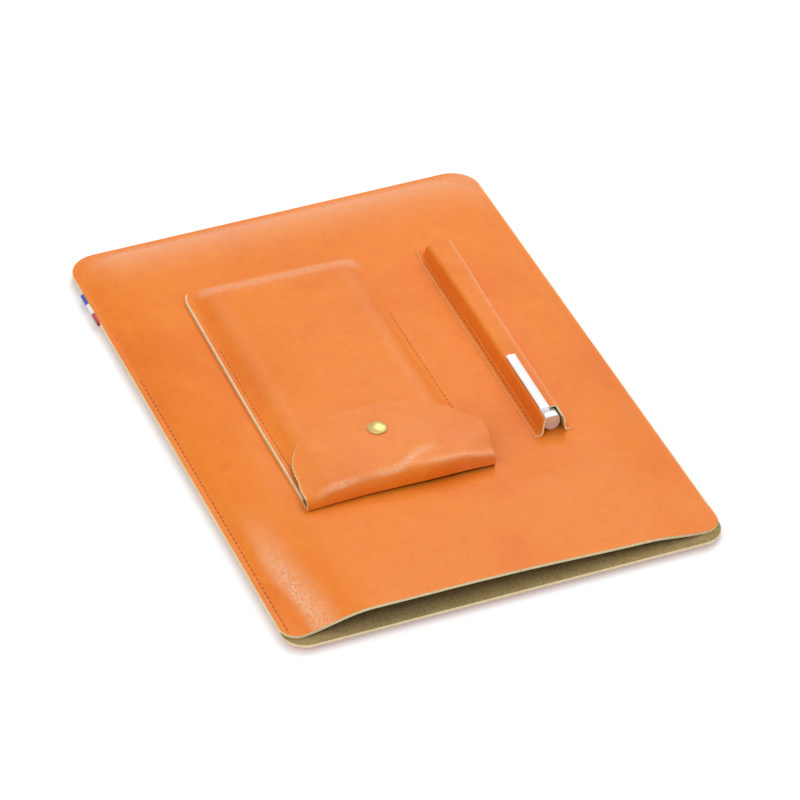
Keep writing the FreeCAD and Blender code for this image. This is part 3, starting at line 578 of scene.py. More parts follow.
def makeFrontPanel():
    p = panel
    rows = roundedRows(p["near"] + p["setback"], p["far"], p["half"], p["frontNearCorner"], p["farCorner"],
                       p["straightSteps"], p["cornerSteps"])
    x, y = spread(rows, spaced(p["half"], p["edgeSteps"], p["acrossSteps"]) / p["half"])
    seam = bell(edgeDistance(x, y, p["half"], p["far"], p["farCorner"]), p["seamInset"], p["grooveWide"])
    tight = p["tight"] + (1 - p["tight"]) * ramp(x, *p["tightAcross"])
    z = frontTop(x, y) - p["groove"] * seam * ramp(y, *p["grooveAlong"]) * tight
    middle = p["sheenLine"] + p["sheenDrift"] * ramp(y, *p["sheenTurn"])
    wearAndSheen = p["sheenStrength"] * between(x - middle, *p["sheenBand"]) * ramp(y, *p["sheenAlong"])  # painted sheen on the slope by the mouth
    end = between(y, p["far"] - p["shoulderDeep"], p["shoulderEase"], p["far"], p["shoulderEnd"])
    wearAndSheen = wearAndSheen + p["shoulder"] * end * ramp(x, *p["shoulderAcross"])  # painted highlight: paler far shoulder, where the slope faces the light
    points = np.stack([x, y, z], -1)
    bare = faceMarks(points)
    bare[p["bareStart"]:, -1] = bareFace  # cut edge that shows along the right side
    piece = gridObject("frontPanel", points, [leather, flesh, rawEdge], wearAndSheen, None, bare)
    return thicken(piece, p["leather"])


def makeBackPanel():
    p = panel
    rows = roundedRows(p["near"], p["far"], p["half"], p["nearCorner"], p["farCorner"],
                       p["backStraight"], p["backCorner"])
    x, y = spread(rows, spaced(p["half"], p["backEdgeSteps"], p["backAcross"]) / p["half"])
    points = np.stack([x, y, np.full_like(x, p["leather"])], -1)
    piece = gridObject("backPanel", points, [flesh, leather, rawEdge], np.zeros_like(x))
    return thicken(piece, p["leather"])


frontPanel = dress(makeFrontPanel(), "sleeve", ["front_panel"])
backPanel = dress(makeBackPanel(), "sleeve", ["back_panel"])
print("sleeve panels made")


# phone pocket, its back sheet running round the fold into the flap
pocket = {
    "middle": -22.8, "half": 48.0, "far": 101.0, "mouth": -72.0, "backNear": -64.0, "corner": 11.0, "leather": 1.0,
    "base": 9.2, "rise": 4.5, "flange": 2.6, "slope": 12.0, "panCorner": 15.0, "air": 0.05,
    "crown": 0.9, "crownInside": (10, 30), "crownAlong": (-34, 50),
    "edgeSteps": (0, 0.7, 1.4, 2.0, 2.5, 3.0, 3.5, 4.0, 4.8, 5.8, 7.0, 8.4, 10.0, 11.8, 13.8, 16.0), "acrossSteps": 44,
    "straightSteps": 110, "cornerSteps": 20, "backStraight": 60, "backCorner": 14,
    "seamInset": 3.0, "groove": 0.12, "grooveWide": 0.65, "tight": 0.15, "tightFrom": 8, "tightEase": -30,
    "farShift": 4.0, "farSkew": 1.5, "farSide": 1.2, "farTaper": 0.8, "skewStart": -20.0, "skewPower": 1.3,
    # painted sheen on the slopes and painted highlight on the far shoulder
    "edgeSheen": 0.12, "rimBand": (8, 4, 20, 6),
    "farEndSheen": 0.46, "endBand": (1.5, 2, 15, 7), "endInside": (1, 3), "endAcross": (-44, 10),
    "bareStop": -12, "shadeRows": 14,
}


def drawnBack(points):  # the far end sits a little askew, further back at the left
    p = pocket
    moved = np.array(points, float)
    share = np.clip((moved[..., 1] - p["skewStart"]) / (p["far"] - p["skewStart"]), 0, None) ** p["skewPower"]
    aside = (moved[..., 0] - p["middle"]) / p["half"]
    moved[..., 1] += share * (p["farShift"] - p["farSkew"] * aside)
    moved[..., 0] += share * (p["farSide"] - p["farTaper"] * aside)
    return moved


def pocketTop(x, y):
    p = pocket
    d = edgeDistance(x - p["middle"], y, p["half"], p["far"], p["panCorner"])
    crown = p["crown"] * ramp(d, *p["crownInside"]) * ramp(y, *p["crownAlong"])
    return p["base"] + 2 * p["leather"] + p["rise"] * ramp(d, p["flange"], p["slope"]) + crown


def makePocketFront():
    p = pocket
    rows = roundedRows(p["mouth"], p["far"], p["half"], 0, p["corner"], p["straightSteps"], p["cornerSteps"])
    x, y = spread(rows, spaced(p["half"], p["edgeSteps"], p["acrossSteps"]) / p["half"], p["middle"])
    d = edgeDistance(x - p["middle"], y, p["half"], p["far"], p["corner"])
    tight = p["tight"] + (1 - p["tight"]) * ramp(y, p["far"] - p["tightFrom"], p["tightEase"])
    z = pocketTop(x, y) - p["groove"] * bell(d, p["seamInset"], p["grooveWide"]) * tight
    end = between(p["far"] - y, *p["endBand"]) * ramp(d, *p["endInside"]) * ramp(x - p["middle"], *p["endAcross"])
    wearAndSheen = p["edgeSheen"] * between(d, *p["rimBand"]) + p["farEndSheen"] * end  # painted highlight on the far shoulder, which faces the light, and a faint painted sheen on the slopes
    points = np.stack([x, y, z], -1)
    bare = faceMarks(points)
    bare[:p["bareStop"], 0] = bareFace  # pale cut edge along the left side
    piece = gridObject("pocketFront", drawnBack(points), [leather, flesh, rawEdge], wearAndSheen, None, bare)
    return thicken(piece, p["leather"])


flap = {
    "leather": 1.0, "tip": -24.5, "shoulder": -60.0, "halfShoulder": 46.5, "halfFold": 48.0, "foldEase": -12,
    "tipPower": 0.45, "wing": 4.6, "wingAlong": (-77, 20, -47, 11),
    "top": 19.0, "tipDrop": 1.2, "tipAlong": (-46, 20), "rest": 1.25, "restSoft": 1.8,
    "leftDrop": 4.7, "leftEdge": -71, "leftStart": -26, "leftDrift": 20, "leftTurn": (-45, -33), "leftPower": 2.7,
    "rightLift": 0.6, "liftPlace": (26, -55), "liftWide": 9,
    "droop": 2.8, "droopAcross": (4, 24), "droopAlong": (-66, -11), "waves": 0.10, "wavesAlong": (-56, -18),
    "crest": 0.5, "crestWide": 4.0, "crestAcross": (-68, 12, 4, 14),
    "crestLine": -77.4, "crestRun": 11.0, "crestTurn": (-28, 24),
    "foldFront": -79.6, "skew": 1.2, "skewAcross": (-45, 70), "foldDepth": 0.74, "depthLoss": 0.30, "tallAt": -76.0,
    "square": 0.92, "squareLoss": 0.22, "rightHalf": (-40, 40),  # the right half is creased more squarely
    "nose": 0.12, "noseRise": 0.06, "noseAcross": (-50, 40), "tuck": 4.0, "wander": 0.3,
    "edgeSteps": (0, 0.012, 0.03, 0.055, 0.09), "acrossSteps": 66, "foldSteps": 14, "flatSteps": 14, "tipSteps": 34,
    # painted highlight along the crest and the fold top, and a faint painted sheen over the flap
    "sheenWide": 3.6, "sheenAcross": (-69, 8, 6, 12), "sheenBase": 0.45, "sheenGain": 0.55,
    "sheenPatches": ((-52, 7, 1.0), (-28, 7, 1.0), (-14, 5, 0.5)),  # place, width and strength along the crest
    "foldTopSheen": 0.55, "rimBack": -1, "rimWide": 2.2, "rimAcross": (-20, 20), "sheenUp": (-2.4, 1.8),
    "overallSheen": 0.11, "overallSheenAlong": (-80, 6), "overallSheenAcross": (-8, 24),
    "leftPress": 0.5, "bareBefore": 4, "bareStop": -3,
}


def crestLine(x):  # crest that leaves the fold at the middle and runs inwards
    return flap["crestLine"] + flap["crestRun"] * ramp(x, *flap["crestTurn"])


def flapTop(x, y):
    f = flap
    start = f["leftStart"] + f["leftDrift"] * ramp(y, *f["leftTurn"])
    left = f["leftDrop"] * np.clip((start - x) / (start - f["leftEdge"]), 0, 1) ** f["leftPower"]
    tip = f["tipDrop"] * ramp(y, *f["tipAlong"])
    lift = f["rightLift"] * bell(x, f["liftPlace"][0], f["liftWide"]) * bell(y, f["liftPlace"][1], f["liftWide"])
    droop = f["droop"] * ramp(x, *f["droopAcross"]) * ramp(y, *f["droopAlong"])
    crest = f["crest"] * bell(y, crestLine(x), f["crestWide"]) * between(x, *f["crestAcross"])
    waves = np.sin(x * 0.37 + y * 0.21 + 1.3 * np.sin(x * 0.11 + y * 0.16))
    z = f["top"] - left - tip + lift - droop + crest + f["waves"] * waves * ramp(y, *f["wavesAlong"])
    floorLine = pocketTop(x, y) + f["rest"]
    return (z + floorLine + np.sqrt((z - floorLine) ** 2 + f["restSoft"])) / 2  # rests softly on the pocket


def flapHalf(y):
    f = flap
    t = np.clip((y - f["shoulder"]) / (f["tip"] - f["shoulder"]), 0, 0.9995)
    rounded = f["halfShoulder"] * (1 - t * t) ** f["tipPower"]
    square = f["halfShoulder"] + (f["halfFold"] - f["halfShoulder"]) * ramp(y, f["shoulder"], f["foldEase"])
    return np.where(y > f["shoulder"], rounded, square)


def flapRow(u, y):  # one row across the flap; the right shoulder is cut fuller than the left
    y = np.broadcast_to(y, u.shape)
    fuller = flap["wing"] * np.clip(u, 0, 1) ** 2 * between(y, *flap["wingAlong"])
    x = pocket["middle"] + u * flapHalf(y) + fuller
    return np.stack([x, y, flapTop(x, y)], -1)


def frontLine(x):  # the fold was not quite square to the pocket
    return flap["foldFront"] - flap["skew"] * ramp(x, *flap["skewAcross"])


def foldLine(x):  # where the flap levels off behind the fold, deeper where the fold stands taller
    f = flap
    tall = flapTop(x, np.full_like(x, f["tallAt"])) - pocket["base"]
    return frontLine(x) + (f["foldDepth"] - f["depthLoss"] * ramp(x, *f["rightHalf"])) * tall


def foldPoint(u, turn):  # turn 0 leaves the back sheet, 1 reaches the flap
    f, p = flap, pocket
    x = p["middle"] + u * f["halfFold"]
    line = foldLine(x)
    low, high = p["base"] + p["air"], flapTop(x, line)
    angle = (turn - 0.5) * math.pi
    square = f["square"] - f["squareLoss"] * ramp(x, *f["rightHalf"])
    if turn < 0.5:
        line = line + f["tuck"]  # the back sheet leaves the panel early and leaves a dark gap
    reach = (line - frontLine(x)) * abs(math.cos(angle)) ** square
    rise = math.copysign(1, math.sin(angle)) * abs(math.sin(angle)) ** square
    wander = f["wander"] * np.sin(u * 5.1 + 0.6) * math.cos(angle)
    nose = low + (f["nose"] + f["noseRise"] * ramp(x, *f["noseAcross"])) * (high - low)  # foremost line, low down
    height = nose + (high - nose) * rise if turn > 0.5 else nose + (nose - low) * rise
    return np.stack([x, line - reach - wander, height], -1)


def makePocketBack():
    p, f = pocket, flap
    u = spaced(1.0, f["edgeSteps"], f["acrossSteps"])
    flat = roundedRows(p["backNear"], p["far"], p["half"], 0, p["corner"], p["backStraight"], p["backCorner"])
    x, y = spread(flat[::-1], u, p["middle"])
    rows = list(np.stack([x, y, np.full_like(x, p["base"] + p["air"])], -1))
    rows += [foldPoint(u, turn) for turn in np.concatenate([np.linspace(0, 0.46, f["foldSteps"]), [0.485, 0.5]])]
    points = drawnBack(rows)
    shaded = faceMarks(points)
    shaded[-p["shadeRows"]:, 2:-1] = shadeFace  # painted shade under the fold, where its shadow falls
    finishes = [leather, flesh, rawEdge, paintedShade, flesh, rawEdge]
    piece = gridObject("pocketBack", points, finishes, np.zeros(points.shape[:2]), None, shaded)
    return thicken(piece, p["leather"])


def flapSheen(points):
    f = flap
    x, y, z = points[..., 0], points[..., 1], points[..., 2]
    line = foldLine(x)
    patches = sum(strength * bell(x, place, wide) for place, wide, strength in f["sheenPatches"])
    # painted highlight along the crest and the top of the fold, broken into patches
    wearAndSheen = bell(y, crestLine(x), f["sheenWide"]) * between(x, *f["sheenAcross"]) * (f["sheenBase"] + f["sheenGain"] * patches)
    wearAndSheen = wearAndSheen + f["foldTopSheen"] * bell(y - line, f["rimBack"], f["rimWide"]) * ramp(x, *f["rimAcross"])
    wearAndSheen = wearAndSheen * ramp(z - flapTop(x, line), *f["sheenUp"])  # on the crest, not on the front of the fold
    overallSheen = np.maximum(ramp(y, *f["overallSheenAlong"]), ramp(x, *f["overallSheenAcross"]))
    return np.maximum(wearAndSheen, f["overallSheen"] * overallSheen)  # a faint painted sheen over the whole flap


def makeFlap():
    p, f = pocket, flap
    u = spaced(1.0, f["edgeSteps"], f["acrossSteps"])
    rows = [foldPoint(u, turn) for turn in np.concatenate([[0.5, 0.515], np.linspace(0.54, 1, f["foldSteps"])])]
    folded = len(rows)
    line = foldLine(p["middle"] + u * f["halfFold"])
    rows += [flapRow(u, line + (f["shoulder"] - line) * share) for share in np.linspace(0, 1, f["flatSteps"])[1:]]
    rows += [flapRow(u, f["shoulder"] + (f["tip"] - f["shoulder"]) * t) for t in np.sin(quarter(f["tipSteps"]))[1:]]
    points = np.array(rows)
    wearAndSheen = flapSheen(points)
    points[folded:, 0, 2] -= f["leftPress"]
    bare = faceMarks(points)
    bare[folded - f["bareBefore"]:f["bareStop"], 0] = bareFace  # thinned edge along the left side
    piece = gridObject("closingFlap", points, [leather, flesh, rawEdge], wearAndSheen, None, bare)
    return thicken(piece, f["leather"])


pocketFront = dress(makePocketFront(), "sleeve", ["pocket_front"])
pocketBack = dress(makePocketBack(), None, ["pocket_back"])
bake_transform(pocketBack)
closingFlap = dress(makeFlap(), None, ["closing_flap", "flap_fold"])
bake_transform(closingFlap)
print("pocket and flap made")


# pen sleeve, a narrow hat section with its far end drawn down and a notch at its mouth
penLoop = {
    "middle": 62.3, "lean": 0.95, "near": -67.5, "far": 95.0, "closeStart": 85.5, "closeEnd": 92.5, "closeNarrow": 0.06,
    "base": 9.2, "leather": 1.0, "roof": 19.25, "flangeHalf": 9.9, "footHalf": 6.5, "topHalf": 5.6,
    "footRound": 0.7, "topRound": 1.9, "flangeSteps": (0.0, 0.6, 1.2, 1.7, 2.2, 2.7),
    "crown": ((-2.4, 0.03), (-1.2, 0.05), (0.0, 0.06)),  # the roof rises a trace towards its middle
    "notch": 8.4, "notchHalf": 4.6, "notchDrop": 1.4,
    "spread": 1.2, "spreadAlong": (10, 80), "spreadIn": 4, "spreadOut": 3,
    "ripple": 0.10, "rippleTurn": 0.19, "rippleUp": (14, 4), "seamInset": 2.0, "groove": 0.16, "grooveWide": 0.6,
    "sheenStrength": 0.42, "sheenUp": (17.4, 0.8), "sheenAcross": (3.2, 1.4), "alongSteps": (6, 64, 14, 5),
}


def leaned(points):  # the pen and its sleeve lean together about the middle line
    turn = math.radians(penLoop["lean"])
    turned = np.array(points, float)
    x, y = turned[..., 0] - penLoop["middle"], turned[..., 1].copy()
    turned[..., 0] = penLoop["middle"] + math.cos(turn) * x + math.sin(turn) * y
    turned[..., 1] = math.cos(turn) * y - math.sin(turn) * x
    return turned


def penSection():  # across the sleeve from flange edge to flange edge: (x, height)
    s = penLoop
    low, high, foot, wallTop = s["base"] + s["leather"], s["roof"], s["footRound"], s["roof"] - s["topRound"]
    half = [(-s["flangeHalf"] + k, low) for k in s["flangeSteps"]]
    half += [(-s["footHalf"] - foot * (1 - math.sin(a)), low + foot * (1 - math.cos(a))) for a in quarter(5)]
    for t in np.linspace(0, 1, 7)[1:]:
        half.append((-s["footHalf"] + (s["footHalf"] - s["topHalf"]) * t, low + foot + (wallTop - low - foot) * t))
    for a in quarter(8)[1:]:
        half.append((-s["topHalf"] + s["topRound"] * (1 - math.cos(a)), wallTop + s["topRound"] * math.sin(a)))
    half += [(x, high + rise) for x, rise in s["crown"]]
    return np.concatenate([half, np.array(half[-2::-1]) * [-1, 1]])


def makePenSleeve():
    s = penLoop
    across, up = penSection().T
    low, mouth = s["base"] + s["leather"], s["near"] + s["notch"]
    stops = (s["near"], mouth, s["closeStart"], s["closeEnd"], s["far"])
    stretches = zip(stops, stops[1:], s["alongSteps"])
    along = np.concatenate([stops[:1]] + [np.linspace(*stretch)[1:] for stretch in stretches])
    shut = ramp(along, s["closeStart"], s["closeEnd"] - s["closeStart"])[:, None]
    wide = np.sign(across) * between(np.abs(across), 0, s["spreadIn"], s["flangeHalf"], s["spreadOut"])
    wider = wide * s["spread"] * ramp(along, *s["spreadAlong"])[:, None]
    x = s["middle"] + across * (1 - s["closeNarrow"] * shut) + wider
    ripple = s["ripple"] * np.sin(along * s["rippleTurn"])[:, None] * ramp(up, *s["rippleUp"])
    seam = bell(s["flangeHalf"] - np.abs(across), s["seamInset"], s["grooveWide"])
    z = low + (up - low + ripple) * (1 - shut) - s["groove"] * seam
    y = np.repeat(along[:, None], len(across), 1)
    roof = (np.abs((across[:-1] + across[1:]) / 2) < s["notchHalf"]) & (up[:-1] > s["roof"] - s["notchDrop"])
    notch = ((along[:-1] + along[1:]) / 2 < mouth)[:, None] & roof
    # painted highlight along the roof's right edge
    wearAndSheen = s["sheenStrength"] * ramp(up, *s["sheenUp"]) * ramp(across, *s["sheenAcross"]) * np.ones_like(y)
    piece = gridObject("penSleeve", leaned(np.stack([x, y, z], -1)), [leather, flesh, rawEdge], wearAndSheen, notch)
    return thicken(piece, s["leather"])


penSleeve = dress(makePenSleeve(), "sleeve", ["pen_sleeve"])
print("pen sleeve made")


# pen clip: a bent strip footed on the cap, lying left of the middle over the roof
clip = {
    "aside": -2.05, "half": 2.4, "metal": 0.8, "heel": -60.2, "foot": 17.2, "top": 20.35, "bend": 0.9,
    "tip": -15.8, "tipLift": 0.35, "tipRun": 4, "flatRun": 4,
    "across": (-1, -0.92, 0, 0.92, 1), "crown": (-0.12, 0, 0, 0, -0.12),  # eased long edges
}


def makeClip():
    c = clip
    run = [(c["heel"], z) for z in np.linspace(c["foot"], c["top"] - c["bend"], 5)]
    for a in quarter(7)[1:]:
        run.append((c["heel"] + c["bend"] * (1 - math.cos(a)), c["top"] - c["bend"] * (1 - math.sin(a))))
    for y in np.linspace(c["heel"] + c["flatRun"], c["tip"], 18):
        run.append((y, c["top"] + c["tipLift"] * ramp(y, c["tip"] - c["tipRun"], c["tipRun"])))
    run = np.array(run)
    x, y = np.meshgrid(penLoop["middle"] + c["aside"] + np.array(c["across"]) * c["half"], run[:, 0])
    z = run[:, 1:] + np.array(c["crown"])
    piece = gridObject("penClip", leaned(np.stack([x, y, z], -1)), [chrome, chrome, chrome])
    return thicken(piece, c["metal"])


penClip = dress(makeClip(), "pen_cap", ["pen_clip"])
print("clip bent")


# stitches: one tree that walks a path and lays a thread and a dark dot, painted shade for the needle hole, at each step
stitch = {"pitch": 3.5, "length": 2.5, "width": 0.62, "height": 0.42, "hole": 0.50}
smallStitch = {"pitch": 3.2, "length": 2.2, "width": 0.55, "height": 0.36, "hole": 0.42}
stitchShape = {"segments": 8, "threadRings": 5, "holeRings": 4, "holeScale": (1.0, 0.9, 0.35)}


def makeStitchTree():
    tree = bpy.data.node_groups.new("saddleStitch", "GeometryNodeTree")
    tree.interface.new_socket("Path", in_out="INPUT", socket_type="NodeSocketGeometry")
    for label in ("Pitch", "Length", "Width", "Height", "Hole"):
        tree.interface.new_socket(label, in_out="INPUT", socket_type="NodeSocketFloat")
    for label in ("Thread", "Dark"):
        tree.interface.new_socket(label, in_out="INPUT", socket_type="NodeSocketMaterial")
    tree.interface.new_socket("Stitches", in_out="OUTPUT", socket_type="NodeSocketGeometry")
    nodes, links = tree.nodes, tree.links
    given, out = nodes.new("NodeGroupInput"), nodes.new("NodeGroupOutput")
    curve = nodes.new("GeometryNodeMeshToCurve")
    links.new(given.outputs["Path"], curve.inputs["Mesh"])
    steps = nodes.new("GeometryNodeCurveToPoints")
    steps.mode = "LENGTH"
    links.new(curve.outputs["Curve"], steps.inputs["Curve"])
    links.new(given.outputs["Pitch"], steps.inputs["Length"])
    turn = nodes.new("FunctionNodeAlignEulerToVector")
    turn.axis = "X"
    turn.pivot_axis = "Z"
    links.new(steps.outputs["Tangent"], turn.inputs["Vector"])
    ball = nodes.new("GeometryNodeMeshUVSphere")
    ball.inputs["Segments"].default_value = stitchShape["segments"]
    ball.inputs["Rings"].default_value = stitchShape["threadRings"]
    ball.inputs["Radius"].default_value = 0.5
    size = nodes.new("ShaderNodeCombineXYZ")
    for axis, label in zip("XYZ", ("Length", "Width", "Height")):
        links.new(given.outputs[label], size.inputs[axis])
    shaped = nodes.new("GeometryNodeTransform")
    links.new(ball.outputs["Mesh"], shaped.inputs["Geometry"])
    links.new(size.outputs[0], shaped.inputs["Scale"])
    dot = nodes.new("GeometryNodeMeshUVSphere")
    dot.inputs["Segments"].default_value = stitchShape["segments"]
    dot.inputs["Rings"].default_value = stitchShape["holeRings"]
    links.new(given.outputs["Hole"], dot.inputs["Radius"])
    shift = nodes.new("ShaderNodeCombineXYZ")
    links.new(mathNode(tree, "MULTIPLY", given.outputs["Pitch"], 0.5), shift.inputs["X"])
    flat = nodes.new("GeometryNodeTransform")
    flat.inputs["Scale"].default_value = stitchShape["holeScale"]
    links.new(dot.outputs["Mesh"], flat.inputs["Geometry"])
    links.new(shift.outputs[0], flat.inputs["Translation"])
    both = nodes.new("GeometryNodeJoinGeometry")
    for made, label in ((shaped, "Thread"), (flat, "Dark")):
        soft = nodes.new("GeometryNodeSetShadeSmooth")
        links.new(made.outputs[0], soft.inputs[0])
        lay = nodes.new("GeometryNodeInstanceOnPoints")
        links.new(steps.outputs["Points"], lay.inputs["Points"])
        links.new(soft.outputs[0], lay.inputs["Instance"])
        links.new(turn.outputs[0], lay.inputs["Rotation"])
        real = nodes.new("GeometryNodeRealizeInstances")
        links.new(lay.outputs[0], real.inputs[0])
        coat = nodes.new("GeometryNodeSetMaterial")
        links.new(real.outputs[0], coat.inputs["Geometry"])
        links.new(given.outputs[label], coat.inputs["Material"])
        links.new(coat.outputs[0], both.inputs[0])
    links.new(both.outputs[0], out.inputs[0])
    return tree


stitchTree = makeStitchTree()


def sew(name, paths, node, sizes):
    verts, edges = [], []
    for path in paths:
        first = len(verts)
        verts += [tuple(c * mm for c in point) for point in path]
        edges += [(first + k, first + k + 1) for k in range(len(path) - 1)]
    mesh = bpy.data.meshes.new(name)
    mesh.from_pydata(verts, edges, [])
    piece = place(name, mesh)
    walker = piece.modifiers.new("stitches", "NODES")
    walker.node_group = stitchTree
    values = {label.title(): size * mm for label, size in sizes.items()}
    values.update({"Thread": thread, "Dark": holeShade})
    for item in stitchTree.interface.items_tree:
        if item.in_out == "INPUT" and item.name in values:
            walker[item.identifier] = values[item.name]
    applied(piece)
    return dress(piece, "sleeve", [node])


# seams: steps along each stretch, and how far the threads lie in the leather
seamPlan = {
    "sideSteps": 60, "cornerSteps": 13, "endSteps": 30, "sunk": 0.10, "penSunk": 0.08,
    "sleeveStart": -151.0, "sleeveTurn": 40, "sleeveTight": 0.08, "sleeveHole": 0.14,
    "pocketStart": 2, "pocketOpen": (44, 156), "pocketEnd": (59, 141),
    "cornerTight": 0.08, "endTight": 0.24, "pocketHole": 0.05,
    "penStart": 2, "penStop": 4,
}


def seamRound(piece, near, corner, top, middle=0.0):  # up one side, round the far end, down the other
    inner, reach, far = (size - piece["seamInset"] for size in (corner, piece["half"], piece["far"]))
    flat = [(-reach, y) for y in np.linspace(near, far - inner, seamPlan["sideSteps"])]
    for a in quarter(seamPlan["cornerSteps"])[1:]:
        flat.append((-reach + inner * (1 - math.cos(a)), far - inner * (1 - math.sin(a))))
    flat += [(x, far) for x in np.linspace(-reach + inner, 0, seamPlan["endSteps"])[1:]]
    flat += [(-x, y) for x, y in flat[-2::-1]]
    x, y = np.array(flat).T
    return np.stack([middle + x, y, top(middle + x, y) - seamPlan["sunk"]], -1)


def lowered(path, depth):
    return path - np.array([0, 0, depth])


def sewAll():
    k, s = seamPlan, penLoop
    turn = k["sleeveTurn"]
    sleeve = seamRound(panel, k["sleeveStart"], panel["farCorner"], frontTop)
    sew("sleeveStitches", [sleeve[:turn + 1]], "sleeve_seam_thread", stitch)
    drawn = dict(stitch, hole=k["sleeveHole"])  # drawn tight, holes closed
    sew("sleeveStitchesFar", [lowered(sleeve[turn:], k["sleeveTight"])], "sleeve_seam_thread", drawn)
    (up, down), (left, right) = k["pocketOpen"], k["pocketEnd"]
    start = pocket["mouth"] + k["pocketStart"]
    edge = drawnBack(seamRound(pocket, start, pocket["corner"], pocketTop, pocket["middle"]))
    sew("pocketStitches", [edge[:up + 1], edge[down:]], "pocket_seam_thread", smallStitch)
    faint = [lowered(edge[first:last + 1], depth) for first, last, depth in (
        (up, left, k["cornerTight"]), (left, right, k["endTight"]), (right, down, k["cornerTight"]))]
    sew("pocketStitchesFar", faint, "pocket_seam_thread", dict(smallStitch, hole=k["pocketHole"]))
    y = np.linspace(s["near"] + k["penStart"], s["far"] - k["penStop"], k["sideSteps"])
    z = np.full_like(y, s["base"] + s["leather"] - k["penSunk"])
    aside = s["flangeHalf"] - s["seamInset"]
    sides = [leaned(np.stack([np.full_like(y, s["middle"] + side * aside), y, z], -1)) for side in (-1, 1)]
    sew("penStitches", sides, "pen_sleeve_seam_thread", smallStitch)


sewAll()
print("seams sewn")


# snap cap: a turned dome with a rolled rim
snapDome = {
    "place": (-21.4, -44.0), "radius": 4.95, "base": 19.0, "sunk": 0.1, "top": 21.2, "turns": 64,
    "rim": 0.75, "rimTall": 0.8, "rimTurn": (-1.2, 1.1, 9), "footIn": 0.9,
    "domeSteps": 14, "domeEnd": 0.97, "domePower": 2.2,
}


def ringObject(name, rings, finishes):  # skins a stack of rings and shuts both ends
    turns = len(rings[0])
    faces = []
    for ring in range(len(rings) - 1):
        for k in range(turns):
            a, b = ring * turns + k, ring * turns + (k + 1) % turns
            faces.append((a, b, b + turns, a + turns))
    faces.append(tuple(range(turns))[::-1])
    faces.append(tuple(range((len(rings) - 1) * turns, len(rings) * turns)))
    return skinObject(name, np.concatenate(rings), faces, finishes)


def makeSnapCap():
    d = snapDome
    base, middle = d["base"] - d["sunk"], d["radius"] - d["rim"]
    profile = [(d["radius"] - d["footIn"], base)]  # (radius, height) from the foot to the middle
    for a in np.linspace(*d["rimTurn"]):
        profile.append((middle + d["rim"] * math.cos(a), base + d["rim"] * d["rimTall"] * (1 + math.sin(a))))
    start, high = profile[-1]
    for t in np.linspace(0, d["domeEnd"], d["domeSteps"])[1:]:
        profile.append((start * (1 - t), high + (d["top"] - high) * (1 - (1 - t) ** d["domePower"])))
    around = np.linspace(0, 2 * math.pi, d["turns"], endpoint=False)
    x, y = np.cos(around), np.sin(around)
    rings = [np.stack([d["place"][0] + radius * x, d["place"][1] + radius * y, np.full_like(x, height)], -1)
             for radius, height in profile]
    return ringObject("snapCap", rings, [brass])


snapCap = dress(makeSnapCap(), "flap", ["snap_cap"])
print("snap cap turned")


# end of the pen: round below and flat on top, with a plain end face
penTop = {"axis": 13.7, "radius": 4.26, "square": 0.5, "back": -57.8, "front": -64.9, "bevel": 0.35, "turns": 64}


def makePenEnd():
    e = penTop
    around = np.linspace(0, 2 * math.pi, e["turns"], endpoint=False)
    c, s = np.cos(around), np.sin(around)
    power = np.where(s > 0, e["square"], 1.0)
    x = np.sign(c) * np.abs(c) ** power * e["radius"]
    z = np.sign(s) * np.abs(s) ** power * e["radius"]
    rings = []
    for y, share in ((e["back"], 1.0), (e["front"] + e["bevel"], 1.0), (e["front"], 1 - e["bevel"] / e["radius"])):
        rings.append(leaned(np.stack([penLoop["middle"] + x * share, np.full_like(x, y), e["axis"] + z * share], -1)))
    piece = ringObject("penEnd", rings, [satinChrome, satinSteel])
    piece.data.polygons[-1].material_index = 1
    piece.data.polygons[-1].use_smooth = False
    return piece


penEnd = dress(makePenEnd(), "pen_cap", ["cap_finial"])
print("pen end made")


# striped ribbon folded round the left seam
ribbon = {
    "near": 107.0, "far": 132.2, "out": -112.1, "inside": -104.0, "middle": 1.5, "thick": 0.40, "loop": 0.80,
    "apart": 0.02, "opening": (-109.5, -2.0), "leafSteps": 12, "loopSteps": 15, "acrossSteps": 25,
    "blue": (0.050, 0.110, 0.500, 1), "white": (0.940, 0.940, 0.930, 1), "red": (0.514, 0.080, 0.102, 1),
    "shade": (0.02, 0.02, 0.03, 1), "shadeSpread": (0.2, 0.8, 0.0, 0.12), "weftScale": 620.0, "weftWander": 0.6,
    "rough": 0.72, "bump": 0.5, "bumpDepth": 0.0001,
}


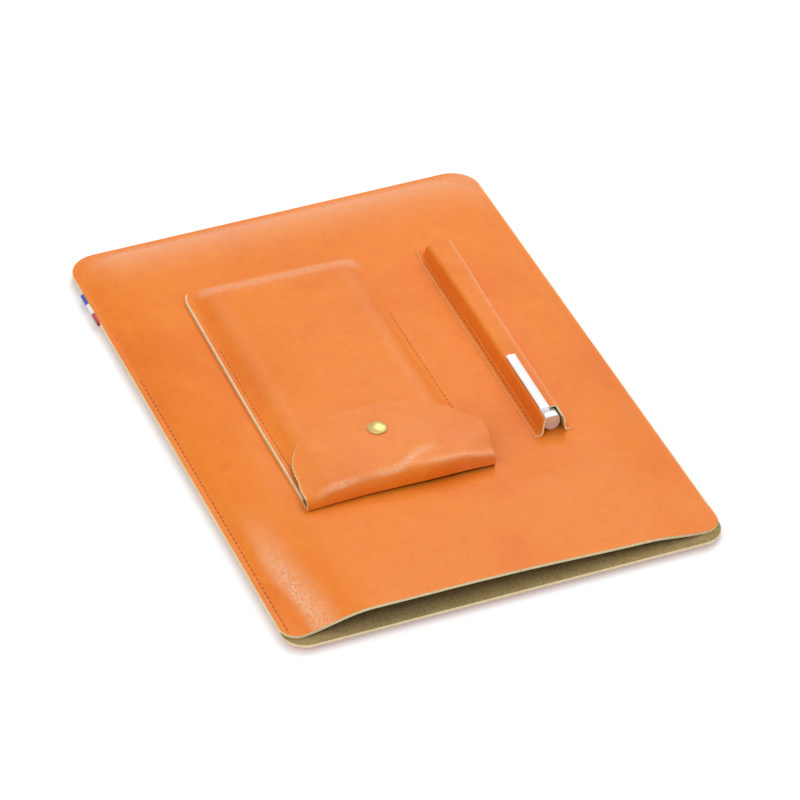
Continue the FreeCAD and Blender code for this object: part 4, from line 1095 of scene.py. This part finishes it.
def makeRibbonFinish():
    r = ribbon
    material, tree, shader = newFinish("wovenRibbon")
    where = tree.nodes.new("ShaderNodeTexCoord")
    split = tree.nodes.new("ShaderNodeSeparateXYZ")
    tree.links.new(where.outputs["Object"], split.inputs[0])
    band = (r["far"] - r["near"]) / 3
    color = r["red"]
    for count, shade in ((1, "white"), (2, "blue")):
        past = mathNode(tree, "GREATER_THAN", split.outputs["Y"], (r["near"] + count * band) * mm)
        color = mixNode(tree, past, color, r[shade])
    weft = tree.nodes.new("ShaderNodeTexWave")
    weft.inputs["Scale"].default_value = r["weftScale"]
    weft.inputs["Distortion"].default_value = r["weftWander"]
    weft.bands_direction = "Y"
    tree.links.new(where.outputs["Object"], weft.inputs["Vector"])
    color = mixNode(tree, rangeNode(tree, weft.outputs["Fac"], *r["shadeSpread"]), color, r["shade"])
    tree.links.new(color, shader.inputs["Base Color"])
    shader.inputs["Roughness"].default_value = r["rough"]
    addBump(tree, shader, weft.outputs["Fac"], r["bump"], r["bumpDepth"])
    return material


def makeRibbon():
    r = ribbon
    turn = r["out"] + r["loop"]
    along = np.linspace(r["inside"], turn, r["leafSteps"])
    leaf = [(x, r["apart"] + r["loop"] * ramp(x, *r["opening"])) for x in along]
    path = [(x, r["middle"] - gap) for x, gap in leaf]  # under leaf, loop, upper leaf
    for a in np.linspace(-math.pi / 2, math.pi / 2, r["loopSteps"])[1:-1]:
        path.append((turn - r["loop"] * math.cos(a), r["middle"] + r["loop"] * math.sin(a)))
    path += [(x, r["middle"] + gap) for x, gap in leaf[::-1]]
    path = np.array(path)
    x, y = np.meshgrid(path[:, 0], np.linspace(r["near"], r["far"], r["acrossSteps"]))
    points = np.stack([x, y, np.broadcast_to(path[:, 1], x.shape)], -1)
    woven = makeRibbonFinish()
    piece = gridObject("ribbonTab", points[::-1], [woven, woven, woven])
    return thicken(piece, r["thick"])


ribbonTab = dress(makeRibbon(), "sleeve", ["ribbon_tab"])
print("ribbon folded")
